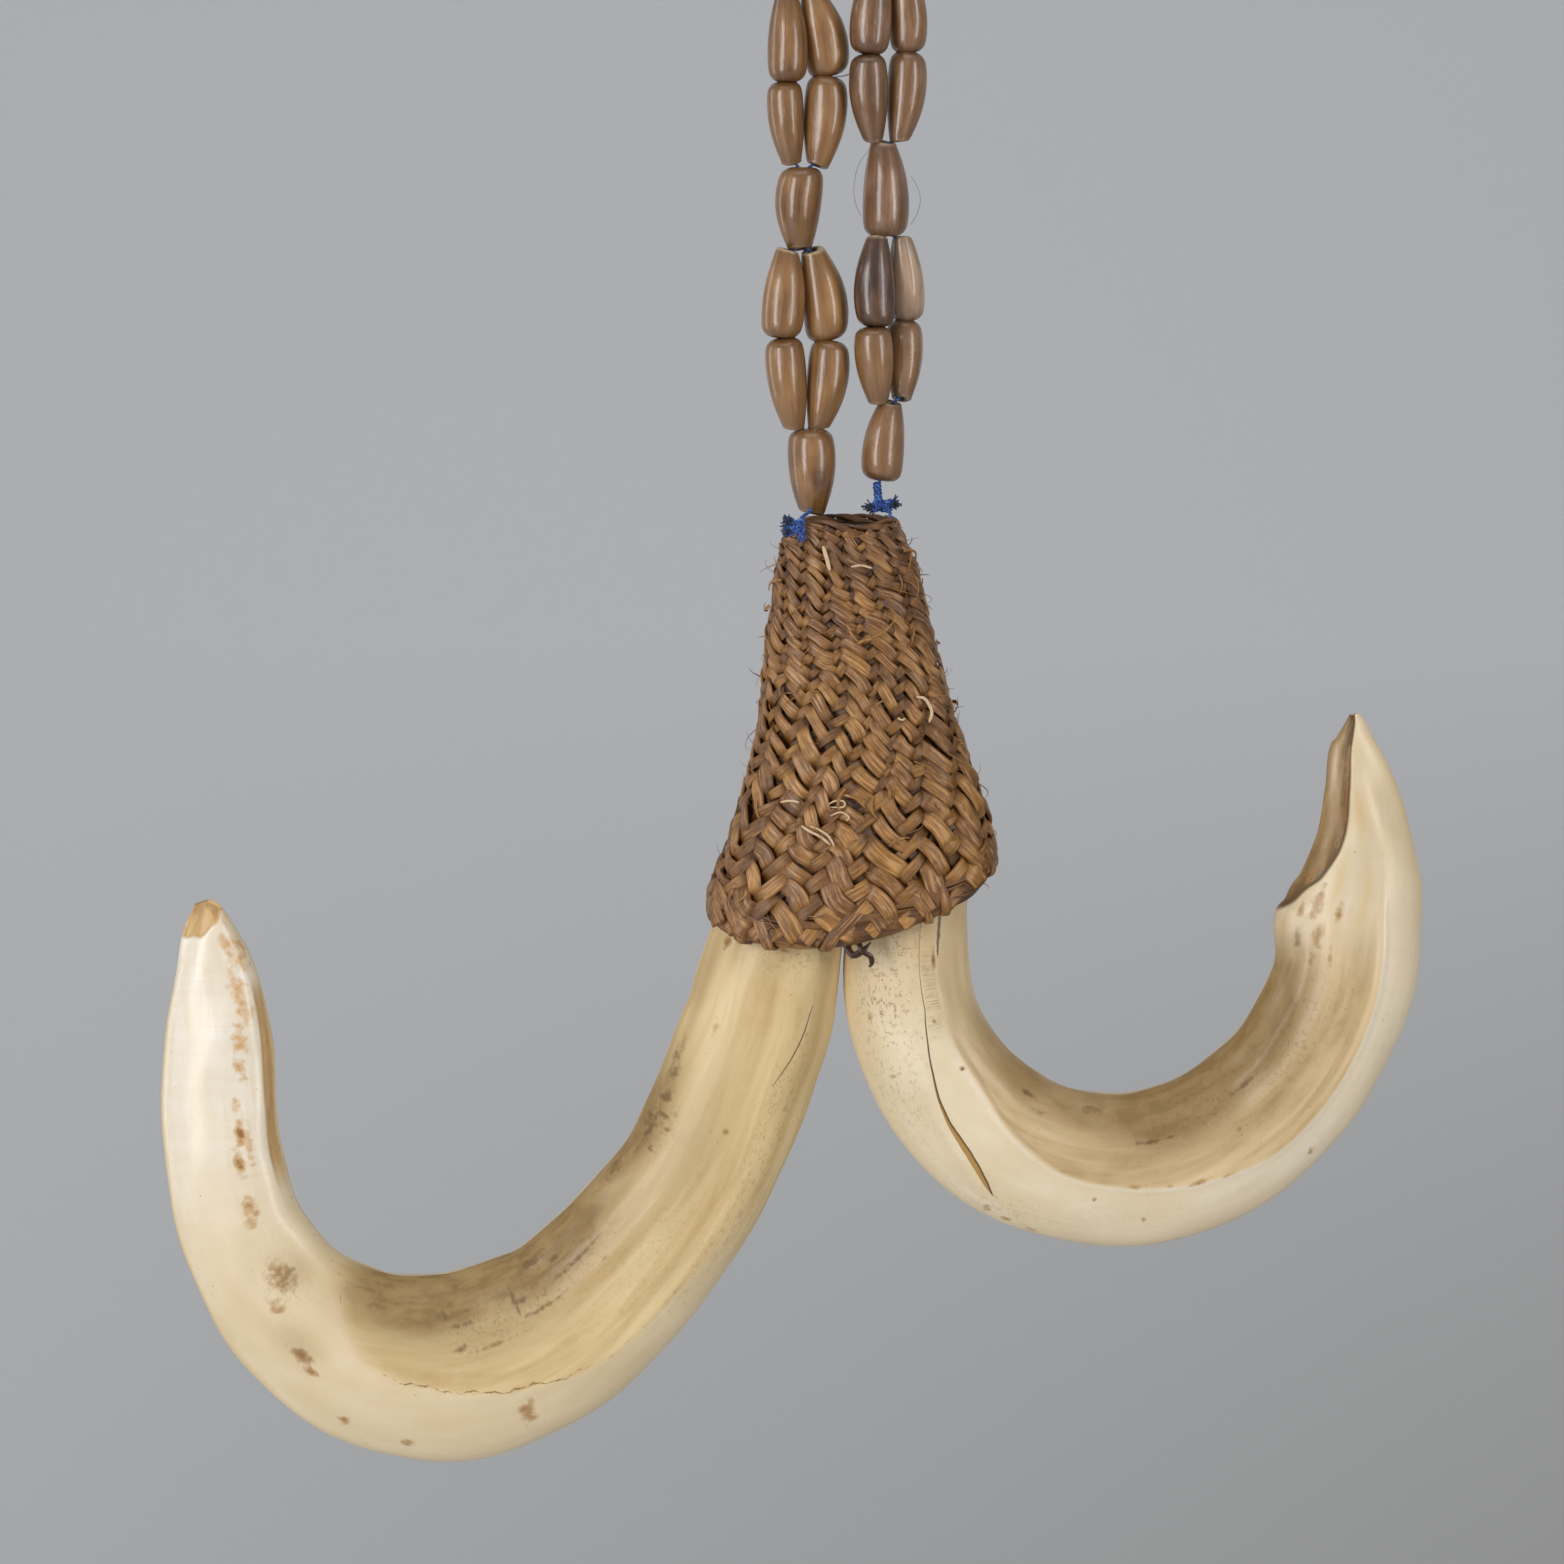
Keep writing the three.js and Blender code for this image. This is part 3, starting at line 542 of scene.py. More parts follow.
def make_tusk(name, stations, turn, tip_forward, marks_of):
    """A tusk with its marks, a little uneven all over, as a grown thing is."""
    points, length, round_, width, ridge = tusk_surface(stations, turn, tip_forward)
    angle = round_ * math.pi / 2
    across = rounded(np.sin(angle))
    half = (width / 2)[:, None]
    front = ramp(np.cos(angle), 0.0, 0.1)
    off_ridge = (across - ridge[:, None]) * half
    marks, lift = marks_of(length, across, off_ridge, half, front)
    along_way = np.gradient(points, axis=0)
    round_way = np.roll(points, -1, axis=1) - np.roll(points, 1, axis=1)
    normal = np.cross(along_way, round_way)
    normal /= np.maximum(np.linalg.norm(normal, axis=-1, keepdims=True), 1e-9)
    spoke = points - points.mean(axis=1, keepdims=True)
    outward = np.sign(np.sum(normal * spoke, axis=-1, keepdims=True))
    uneven = 0.10 * np.sin(length / 5.1 + 2 * np.sin(angle)) * np.sin(3 * angle + length / 17)
    uneven = uneven + 0.07 * np.sin(length / 2.3 + 3 * angle)
    fade = ramp(length.max() - length, 0, 6)
    points = points + normal * outward * (lift + uneven * fade)[..., None]
    faces = grid_faces(*length.shape) + cap_faces(*length.shape)
    if turn > 0:
        faces = [face[::-1] for face in faces]
    kept = {key: (value + 0 * length).ravel() for key, value in marks.items()}
    round_half = half * GRAIN_SPREAD
    grain = np.stack([length, round_half * np.sin(angle), round_half * np.cos(angle)], -1)
    kept["grain"] = grain.reshape(-1, 3)
    piece = smooth_mesh(name, points.reshape(-1, 3), faces, kept)
    print(name, len(faces), "faces,", round(float(length.max())), "mm along its middle")
    return piece


tusk_left = make_tusk("left_tusk", LEFT_STATIONS, -1, LEFT_TIP_FORWARD, left_marks)
tusk_right = make_tusk("right_tusk", RIGHT_STATIONS, 1, RIGHT_TIP_FORWARD, right_marks)

# %% [markdown]
# ## Ivory
# Enamel is hard, pale and glassy. Dentine is softer and takes up stains, so the inside of the curl
# has gone olive and brown in long streaks; towards the inner edge that brown is deepened as painted
# shade of the hollow there. Brown mottles, nicks and cracks are where the surface has been hurt,
# and the tips are worn down to honey-coloured dentine. Light goes a little way into enamel and
# dentine, which softens their shadows. The colour is built as on the real tusk: dentine or enamel
# first, then what has soaked in together with the painted shade, then what is worn or broken, then
# dirt in the cracks. Painted highlights lie along the right tusk's ridge and the left tusk's outer
# edge.


# %% Ivory finish
def thin_lines(node, vector, stretch, width, distortion=0.6):
    """Fine curved lines, where a noise passes through its middle value."""
    noise = stretched_noise(node, vector, stretch, 1.0, 3, 0.6, distortion)
    off_middle = node("Math", (noise, 0.5), operation="SUBTRACT")
    off_middle = node("Math", (off_middle,), operation="ABSOLUTE")
    return node("MapRange", (off_middle, 0.0, width, 1.0, 0.0))


TUSK_MARKS = (
    "enamel", "white", "stain", "spot", "wear", "worn_in", "crack", "crack_half", "slit", "slit_half",
    "scuff", "hatch", "yellow",
)


def ivory(name, tints, shift):
    """Polished tusk. The tints are for its own enamel, dentine, worn faces and marks."""
    material, surface, node = new_finish(name)
    kept = {key: node("Attribute", out="Fac", attribute_name=key) for key in TUSK_MARKS}
    raw = node("Attribute", out="Vector", attribute_name="grain")
    grain = node("VectorMath", (raw, (shift, shift * 0.7, 0)))
    # Each stretch is one over a real size in millimetres, along the tusk and then round it:
    # streaks are 29 by 3 mm, hairlines 11 by 0.3 mm, growth rings 1.1 by 20 mm, flecks 1.1 by 1.8.
    streaks = stretched_noise(node, grain, (0.035, 0.34, 0.34), roughness=0.5, distortion=0.4)
    hairlines = stretched_noise(node, grain, (0.09, 3.5, 3.5), 1.0, 3, 0.6, 0.2)
    clouds = stretched_noise(node, grain, (0.10, 0.16, 0.16), detail=5)
    rings = stretched_noise(node, grain, (0.9, 0.05, 0.05), 1.0, 3, 0.5, 0.3)
    specks = stretched_noise(node, grain, (1.3, 0.75, 0.75), 1.0, 3, 0.6, 0.2)
    blotch = stretched_noise(node, grain, (0.2, 0.3, 0.3), 1.0, 7, 0.62, 0.4)
    flecks = stretched_noise(node, grain, (0.9, 0.55, 0.55), 1.0, 3, 0.5)
    # The white coat also lays the right tusk's painted highlights.
    enamel = coats(
        node, tints["enamel_deep"],
        (node("MapRange", (clouds, 0.35, 0.65)), tints["enamel_pale"]),
        (kept["white"], tints["white"]),
        (node("MapRange", (streaks, 0.42, 0.62, 0.3, 0.0)), tints["enamel_deep"]),
        (node("MapRange", (rings, 0.3, 0.75, 0.0, 0.3)), tints["enamel_deep"]))
    dentine = coats(
        node, tints["dentine_deep"],
        (node("MapRange", (streaks, 0.34, 0.66)), tints["dentine_pale"]),
        (node("MapRange", (blotch, 0.35, 0.7, 0.0, 0.5)), tints["dentine_pale"]))
    worn = coats(
        node, tints["worn_deep"],
        (node("MapRange", (kept["worn_in"], 0.7, 2.3)), tints["worn_pale"]),
        (node("MapRange", (streaks, 0.35, 0.65, 0.5, 0.0)), tints["worn_deep"]),
        (node("MapRange", (blotch, 0.5, 0.66, 0.0, 0.5)), tints["worn_deep"]))
    # What has soaked in follows the streaks and blotches of the dentine. The stain mark also holds the
    # painted shade of the inner edge, so this coat and the grime carry it too.
    soaking = node("MapRange", (node("Math", (streaks, blotch)), 0.8, 1.2, 0.66, 1.0))
    soaked_and_shaded = node("Math", (kept["stain"], soaking), operation="MULTIPLY")
    soaked_and_shaded = node("Math", (soaked_and_shaded, 0.92), operation="MINIMUM")
    grime_and_shade = node("MapRange", (blotch, 0.5, 0.7, 0.0, 0.12))
    grime_and_shade = node("Math", (kept["stain"], grime_and_shade), operation="MULTIPLY")
    # A mottle is broken up by flecks, and is darkest in its middle.
    broken = node("Math", (kept["spot"], node("MapRange", (flecks, 0.3, 0.7, -0.4, 0.4))))
    at_spot = node("MapRange", (kept["spot"], 0.06, 0.3))
    marked = node("MapRange", (broken, 0.2, 0.8, 0.0, 0.75))
    marked = node("Math", (marked, at_spot), operation="MULTIPLY")
    mark_colour = coats(
        node, tints["mark"],
        (kept["white"], tints["mark_on_white"]),
        (node("MapRange", (kept["stain"], 0.05, 0.5)), "#664c26"))
    in_spot = node("MapRange", (kept["spot"], 0.4, 0.7))
    deep_mark = node("MapRange", (broken, 0.85, 1.2, 0.0, 0.8))
    deep_mark = node("Math", (deep_mark, in_spot), operation="MULTIPLY")
    pits = node("TexVoronoi", {"Vector": grain, "Scale": 0.55, "Randomness": 1.0})
    pits = node("MapRange", (pits, 0.05, 0.09, 0.6, 0.0))
    pits = node("Math", (pits, node("MapRange", (clouds, 0.5, 0.58))), operation="MULTIPLY")
    # Scratches are fine curved lines where the tusk is scuffed, broken up by specks.
    scuffed = node("MapRange", (specks, 0.46, 0.56, 0.0, 1.2))
    scuffed = node("Math", (kept["scuff"], scuffed), operation="MULTIPLY")
    scratches = thin_lines(node, grain, (0.6, 0.6, 0.6), 0.035)
    scratches = node("Math", (scratches, scuffed), operation="MULTIPLY")
    hatched = node("MapRange", (specks, 0.3, 0.6, 0.0, 0.5))
    hatched = node("Math", (kept["hatch"], hatched), operation="MULTIPLY")
    cross_lines = thin_lines(node, grain, (2.6, 0.04, 0.04), 0.09, 0.0)
    cross_lines = node("Math", (cross_lines, hatched), operation="MULTIPLY")
    # A point is inside a slit or a crack where it is nearer to the line than half its width.
    slit_off = node("Math", (kept["slit"],), operation="ABSOLUTE")
    slit_in = node("Math", (kept["slit_half"], slit_off), operation="SUBTRACT")
    slit_in = node("Math", (slit_in, node("MapRange", (specks, 0.3, 0.7, -0.12, 0.1))))
    slit = node("MapRange", (slit_in, -0.04, 0.05))
    crack_off = node("Math", (kept["crack"],), operation="ABSOLUTE")
    crack_in = node("Math", (kept["crack_half"], crack_off), operation="SUBTRACT")
    crack = node("MapRange", (crack_in, -0.05, 0.05))
    far_wall = node("Math", (kept["crack_half"], kept["crack"]), operation="SUBTRACT")
    far_wall = node("MapRange", (far_wall, 0.08, 0.34))
    colour = coats(
        node, dentine,
        (kept["enamel"], enamel),
        (node("MapRange", (hairlines, 0.56, 0.8, 0.0, 0.14)), tints["dentine_deep"]),
        # Yellowing, with the painted golden highlight on the left tusk's outer edge.
        (node("Math", (kept["yellow"], 0.5), operation="MULTIPLY"), "#dcbb7c"),
        (soaked_and_shaded, "#84652f"),
        (grime_and_shade, "#644c24"),
        (kept["wear"], worn),
        (marked, mark_colour),
        (deep_mark, tints["deep_mark"]),
        (pits, "#6e5434"),
        (node("Math", (scratches, 0.75), operation="MULTIPLY"), "#6f5228"),
        (cross_lines, "#7a6442"),
        (node("Math", (slit, 0.85), operation="MULTIPLY"), tints["dirt"]),
        (crack, coats(node, "#43290f", (far_wall, "#b48a48"))))
    # Enamel is the smoother, white enamel most of all, and a worn face is the duller.
    rough = node("MapRange", (kept["enamel"], 0.0, 1.0, 0.48, 0.35))
    rough = node("Math", (kept["wear"], 0.2, rough), operation="MULTIPLY_ADD")
    rough = node("Math", (kept["white"], -0.1, rough), operation="MULTIPLY_ADD")
    rough = node("Math", (rough, node("MapRange", (blotch, 0.3, 0.7, -0.04, 0.08))))
    height = node("Math", (hairlines, 0.25), operation="MULTIPLY")
    height = node("Math", (streaks, 0.7, height), operation="MULTIPLY_ADD")
    height = node("Math", (rings, 0.6, height), operation="MULTIPLY_ADD")
    height = node("Math", (marked, -0.16, height), operation="MULTIPLY_ADD")
    height = node("Math", (scratches, -0.4, height), operation="MULTIPLY_ADD")
    height = node("Math", (node("Math", (crack, slit)), -2.2, height), operation="MULTIPLY_ADD")
    bump = node("Bump", {"Strength": 0.4, "Distance": 0.14 * MM, "Height": height})
    link = material.node_tree.links.new
    link(colour, surface.inputs["Base Color"])
    link(rough, surface.inputs["Roughness"])
    link(bump, surface.inputs["Normal"])
    surface.inputs["Subsurface Weight"].default_value = 0.25
    surface.inputs["Subsurface Radius"].default_value = (1.0, 0.7, 0.45)
    surface.inputs["Subsurface Scale"].default_value = 1.6 * MM
    surface.inputs["Coat Weight"].default_value = 0.15
    surface.inputs["Coat Roughness"].default_value = 0.15
    return material


# %% Dress the tusks
LEFT_TINTS = {
    "enamel_pale": "#e8d5b4", "enamel_deep": "#dec89f", "white": "#f1e8da",
    "dentine_pale": "#e0c898", "dentine_deep": "#c2a36e", "worn_pale": "#d8b27a", "worn_deep": "#a9824f",
    "mark": "#a4732e", "mark_on_white": "#d09c52", "deep_mark": "#8c5820", "dirt": "#8f6a30",
}
RIGHT_TINTS = {
    "enamel_pale": "#eddec1", "enamel_deep": "#e3cfaa", "white": "#ede2cd",
    "dentine_pale": "#dcc297", "dentine_deep": "#ad8f5e", "worn_pale": "#a98855", "worn_deep": "#63441d",
    "mark": "#a87c38", "mark_on_white": "#a87c38", "deep_mark": "#7c5420", "dirt": "#4c3820",
}
PATTERN_SHIFT = 37.0
dress(tusk_left, "left_ivory", ivory("left_tusk_ivory", LEFT_TINTS, 0.0), "tusk_left")
dress(tusk_right, "right_ivory", ivory("right_tusk_ivory", RIGHT_TINTS, PATTERN_SHIFT), "tusk_right")
print("tusks dressed in ivory")

# %% [markdown]
# ## Strips and threads
# Plaited strips, twisted threads and loose fibres are all swept along a path. Each ring of points
# stands square to the path, with its top towards the side that faces out. Many sweeps join into
# one mesh, and each keeps its own shade, because no two strips of a leaf are the same brown. On
# the plait and its rim that shade number also holds painted shade.

# %% Sweeps
STRIP_SECTION = np.array([
    (0.5, 0.0), (0.4, -0.4), (-0.4, -0.4), (-0.5, 0.0), (-0.46, 0.34), (-0.34, 0.47), (0.34, 0.47),
    (0.46, 0.34),
])


def round_section(sides, radius):
    angle = np.arange(sides) * 2 * math.pi / sides
    return np.stack([np.cos(angle), -np.sin(angle)], 1) * radius


def unit(vectors):
    return vectors / np.maximum(np.linalg.norm(vectors, axis=-1, keepdims=True), 1e-9)


def sweep(path, facing, section):
    """Rings along a path. A section is points across and up, the same all along or one per ring."""
    tangent = unit(np.gradient(path, axis=0))
    side = unit(np.cross(tangent, facing))
    up = np.cross(side, tangent)
    section = np.broadcast_to(section, (len(path), *section.shape[-2:]))
    return path[:, None] + side[:, None] * section[..., :1] + up[:, None] * section[..., 1:]


def steady_normals(path):
    """Normals that turn as little as they can along a path."""
    tangent = unit(np.gradient(path, axis=0))
    normal = np.cross(tangent[0], (0.3, 0.9, 0.2))
    normals = []
    for t in tangent:
        normal = normal - t * (normal @ t)
        normal = normal / np.linalg.norm(normal)
        normals.append(normal)
    return np.array(normals)


def plied(path, radius, pitch, plies=2, sides=6, step=0.12):
    """A twisted thread: its plies wind round the path."""
    path = even(path, step)
    normal = steady_normals(path)
    tangent = unit(np.gradient(path, axis=0))
    other = np.cross(tangent, normal)
    distance = np.arange(len(path)) * step
    strips = []
    for k in range(plies):
        angle = 2 * math.pi * (distance / pitch + k / plies)
        spoke = normal * np.cos(angle)[:, None] + other * np.sin(angle)[:, None]
        middle = path + spoke * radius * 0.48
        shade = 0.5 + 0.25 * np.sin(distance * 0.7 + 2.1 * k)
        strips.append((sweep(middle, spoke, round_section(sides, radius * 0.56)), {"shade": shade}))
    return strips


def even(path, step):
    """The same path in even steps."""
    path = np.asarray(path, float)
    distance = np.concatenate([[0], np.cumsum(np.linalg.norm(np.diff(path, axis=0), axis=1))])
    at = np.linspace(0, distance[-1], max(4, int(distance[-1] / step)))
    return np.stack([np.interp(at, distance, path[:, k]) for k in range(3)], 1)


def join(name, strips):
    """One mesh from many sweeps, with their marks."""
    points, faces, marks, start = [], [], {}, 0
    for rings, values in strips:
        rows, columns = rings.shape[:2]
        points.append(rings.reshape(-1, 3))
        faces += grid_faces(rows, columns, start=start) + cap_faces(rows, columns, start)
        for key, value in values.items():
            value = np.asarray(value, float)
            value = value[:, None] if value.ndim == 1 else value
            marks.setdefault(key, []).append(np.broadcast_to(value, (rows, columns)).ravel())
        start += rows * columns
    marks = {key: np.concatenate(value) for key, value in marks.items()}
    piece = smooth_mesh(name, np.concatenate(points), faces, marks)
    print(name, len(strips), "sweeps,", len(faces), "faces")
    return piece


# %% [markdown]
# ## The plaited sleeve
# The sleeve is plaited from two families of flat leaf strips that wind round it in opposite
# directions. Each strip goes over two of the others and then under two, one step on from its
# neighbour, which gives rows of slanting lozenges. The same number of strips goes round at every
# height, so they are narrow at the top and broad at the bottom. The lower edge is a rolled rim:
# strands run along it and short strips wrap over them.

# %% Sleeve form
SLEEVE_LEVELS = np.array([
    (-103.5, -8.4, 6.6, 6.1), (-105.4, -8.6, 6.8, 6.2), (-112.6, -10.1, 10.1, 7.4),
    (-123, -11.6, 12.5, 8.2),
    (-134, -12.4, 15.4, 9.2), (-145, -14.8, 19.4, 10.6), (-153, -17.2, 21.4, 11.4),
    (-160, -19.8, 21.7, 11.8),
    (-170, -20.3, 21.7, 12.0),
])
SLEEVE_TOP = -105.6
SLEEVE_RIM_LEFT = -163.4
SLEEVE_RIM_RIGHT = -155.8
SLEEVE_RIM_FRONT_DROP = 6.4
SLEEVE_SQUARENESS = 2.3
STRIP_INSET = 0.6
STRIPS_EACH_WAY = 32
STRIP_STEP = 0.45


def sleeve_sides(height):
    """The left side, the right side and the depth of the sleeve at a height."""
    return (np.interp(-height, -SLEEVE_LEVELS[:, 0], SLEEVE_LEVELS[:, k]) for k in (1, 2, 3))


def sleeve_at(angle, height, outset):
    """A point of the sleeve's form and the way out from it."""
    angle, height, outset = np.broadcast_arrays(angle, height, outset)
    left, right, depth = sleeve_sides(height)
    c, s = np.cos(angle), np.sin(angle)
    n = SLEEVE_SQUARENESS
    full = (np.abs(c) ** n + np.abs(s) ** n) ** (-1 / n)
    half = (right - left) / 2
    out = unit(np.stack([np.sign(c) * np.abs(c * full) ** (n - 1) / half,
                         np.sign(s) * np.abs(s * full) ** (n - 1) / depth, 0 * c], -1))
    point = np.stack([(left + right) / 2 + half * c * full, depth * s * full, height], -1)
    return point + out * outset[..., None], out


def rim_height(angle):
    side = SLEEVE_RIM_LEFT + (SLEEVE_RIM_RIGHT - SLEEVE_RIM_LEFT) * (1 + np.cos(angle)) / 2
    return side - SLEEVE_RIM_FRONT_DROP * np.maximum(0, -np.sin(angle)) ** 1.5


# %% A map of the form
# Rows go down the sleeve, and columns go round it in even steps of its girth.
MAP_ROWS = 300
MAP_COLUMNS = 512
MAP_FOOT = -169.5
map_height = np.linspace(SLEEVE_TOP, MAP_FOOT, MAP_ROWS)
fine = np.linspace(0, 2 * math.pi, 1441)
map_angle = np.empty((MAP_ROWS, MAP_COLUMNS))
map_girth = np.empty(MAP_ROWS)
for row, level in enumerate(map_height):
    ring, _ = sleeve_at(fine, level, -STRIP_INSET)
    walked = np.concatenate([[0], np.cumsum(np.linalg.norm(np.diff(ring, axis=0), axis=1))])
    map_girth[row] = walked[-1]
    map_angle[row] = np.interp(np.arange(MAP_COLUMNS) / MAP_COLUMNS * walked[-1], walked, fine)
drop = np.diff(map_height, prepend=map_height[0])
map_down = np.cumsum(-drop * 2 * math.pi / map_girth)
print("girth", map_girth[0].round(1), "to", map_girth[-1].round(1), "mm")


def on_map(around, down):
    """Angle, height and girth at a place of the map. A step down is as long as a step round."""
    row = np.interp(down, map_down, np.arange(MAP_ROWS))
    i = np.minimum(row.astype(int), MAP_ROWS - 2)
    column = np.mod(around / (2 * math.pi), 1) * MAP_COLUMNS
    j = column.astype(int) % MAP_COLUMNS
    f = column - np.floor(column)
    k = (j + 1) % MAP_COLUMNS
    turn = np.where(k == 0, 2 * math.pi, 0)
    upper = map_angle[i, j] * (1 - f) + (map_angle[i, k] + turn) * f
    lower = map_angle[i + 1, j] * (1 - f) + (map_angle[i + 1, k] + turn) * f
    g = row - i
    angle = upper * (1 - g) + lower * g
    rows = np.arange(MAP_ROWS)
    return angle, np.interp(row, rows, map_height), np.interp(row, rows, map_girth)


def soft_noise(x, seed, waves=4, period=2.0):
    """A smooth wavering number, about -1 to 1."""
    r = np.random.default_rng(seed)
    total = 0 * x
    for k in range(waves):
        speed = 2 * math.pi * (k + 1) / period * r.uniform(0.7, 1.3)
        total = total + np.sin(x * speed + r.uniform(0, 6.28)) / (k + 1)
    return total / 1.6


# %% [markdown]
# ## Plaited strips
# On the real sleeve no strip is quite like the next: each wavers, twists and swells, and the whole
# plait is pulled about by years of handling. A woven picture on a plain tube would show none of
# this at its edges, so every strip is swept along its own way, over two and under two. A strip's
# points also keep how deep it lies, because what lies deep gets painted shadow and dust.

# %% The way of a strip
PITCH = 2 * math.pi / STRIPS_EACH_WAY
RIM_TUCK = 1.2
OVER_SHARE = 0.6
STRIP_ACROSS = STRIP_SECTION[None, :, 0] * 2


def lean(down):
    """How far the whole plait is turned at each depth: its rows aren't quite true."""
    return np.interp(down, (0, 1.2, 2.6, 4.4), (0, 0.2, 0.4, -0.2))


def bent(around, down):
    """The whole plait is pulled about a little: its columns sway and its cells vary in size."""
    shift = 0.040 * np.sin(3 * around + 2.1 * down + 0.4) + 0.026 * np.sin(5 * around - 3.3 * down + 2.0)
    shift = shift + 0.022 * np.sin(9 * around + 5.1 * down + 1.0)
    drop = 0.050 * np.sin(2 * around + 2.9 * down + 1.1) + 0.030 * np.sin(4 * around - 4.0 * down + 0.3)
    drop = drop + 0.026 * np.sin(8 * around + 6.3 * down + 2.6)
    return around + shift, down + drop * np.minimum(1, down / 0.5)


def top_height(angle):
    """The top edge dips in front on the right, and its left end is cut lower."""
    turn = np.mod(angle, 2 * math.pi)
    dip = 1.0 * np.exp(-((turn - 5.0) / 0.5) ** 2)
    return SLEEVE_TOP - 0.8 - dip - 3.4 * np.exp(-((turn - math.pi) / 0.62) ** 2)


# %% One strip, and both families
def plait_strip(index, hand):
    """One strip from the top edge to the rim. A hand of 1 goes down to the right, -1 to the left."""
    seed = index * 2 + (hand > 0)
    r = np.random.default_rng(seed)
    own_shift = 0.13 * r.uniform(-1, 1)

    def place(down):
        waver = 0.12 * soft_noise(down, seed + 200, period=1.4) + own_shift
        return index * PITCH + hand * down + lean(down) + PITCH * waver

    # The part of its way between the top edge and the rim, in even steps.
    down = np.linspace(0, map_down[-1], 700)
    angle, height, girth = on_map(*bent(place(down), down))
    inside = height > rim_height(angle) + RIM_TUCK
    last = len(down) if inside.all() else max(8, int(np.argmin(inside)))
    first = int(np.argmax(height < top_height(angle)))
    down = down[first:last]
    centre, _ = sleeve_at(angle[first:last], height[first:last], -STRIP_INSET)
    walked = np.concatenate([[0], np.cumsum(np.linalg.norm(np.diff(centre, axis=0), axis=1))])
    down = np.interp(np.arange(0, walked[-1], STRIP_STEP), walked, down)
    angle, height, girth = on_map(*bent(place(down), down))
    # It meets one strip of the other family at each whole crossing.
    crossing = (index * PITCH + hand * down) * STRIPS_EACH_WAY / math.pi
    share = OVER_SHARE + 0.12 * np.sin(angle + 0.9) - 0.3 * ramp(-height, 138, 160)
    crest = np.cos((crossing - 0.5) * math.pi / 2) + share
    wave = np.tanh(2.6 * crest) * hand
    floats = np.floor((crossing + 1.5) / 4)
    bulge = 0.10 * np.sin(floats * 12.9 + index * 4.7) * np.clip(wave * hand, 0, 1)
    width = girth / STRIPS_EACH_WAY * math.sqrt(0.5) * (1.06 + 0.12 * hand) * r.uniform(0.86, 1.1)
    width = width * (1 + 0.13 * soft_noise(down, seed + 400, period=0.9))
    thick = 0.22 * width + 0.16
    lift = (0.56 * thick + 0.14) * wave + 0.12 * soft_noise(down, seed + 600, period=0.7) + bulge
    centre, out = sleeve_at(angle, height, lift - STRIP_INSET)
    section = STRIP_SECTION[None] * np.stack([width, thick], -1)[:, None]
    roll = np.radians(14) * soft_noise(down, seed + 800, period=0.8)
    c, s = np.cos(roll)[:, None], np.sin(roll)[:, None]
    rolled_across = section[..., 0] * c - section[..., 1] * s
    rolled_up = section[..., 0] * s + section[..., 1] * c
    shade = r.uniform(0.3, 0.76) + 0.2 * soft_noise(down, seed + 900, period=1.2)
    # The strips are painted darker near the top and a little lighter further down, as painted shade and
    # light on the sleeve.
    shade = shade + np.interp(-height, (106, 120, 132, 150), (-0.2, -0.04, 0.1, 0.06))
    return sweep(centre, out, np.stack([rolled_across, rolled_up], -1)), {
        "shade": shade, "sunk": 0.5 - 0.5 * np.tanh(1.3 * crest) * hand, "across": STRIP_ACROSS,
        "along": np.arange(len(down)) * STRIP_STEP + index * 37.0}


strips_down_right = join("strips_down_right", [plait_strip(k, 1) for k in range(STRIPS_EACH_WAY)])
strips_down_left = join("strips_down_left", [plait_strip(k, -1) for k in range(STRIPS_EACH_WAY)])

# %% [markdown]
# ## Rim, top edge and lining
# The maker turned the ends of the strips back at the lower edge and bound them over a bundle of
# strands. The bundle here is two loose ropes along the rim, with short strips wrapped over them
# at uneven slants. A thin rope finishes the top edge. The ropes and wraps are painted dark, as the
# rim's darker brown and as painted shade. A dark lining closes what the gaps between strips would
# let through: its dark brown is painted shade, for the shadowed inside of the sleeve, where in the
# real one the tucked ends of the strips close the gaps.

# %% Ropes
# A rope: its height, how far out it lies, its radius, strands, pitch, strand size and seed.
RIM_ROPES = (
    (lambda angle: rim_height(angle) + 2.0, -1.7, 1.25, 7, 46, (1.6, 0.85), 31),
    (lambda angle: rim_height(angle) + 3.9, -1.0, 0.8, 4, 30, (1.3, 0.65), 41),
    (top_height, -0.9, 0.55, 3, 13, (1.0, 0.6), 51),
)
ROPE_POINTS = 420


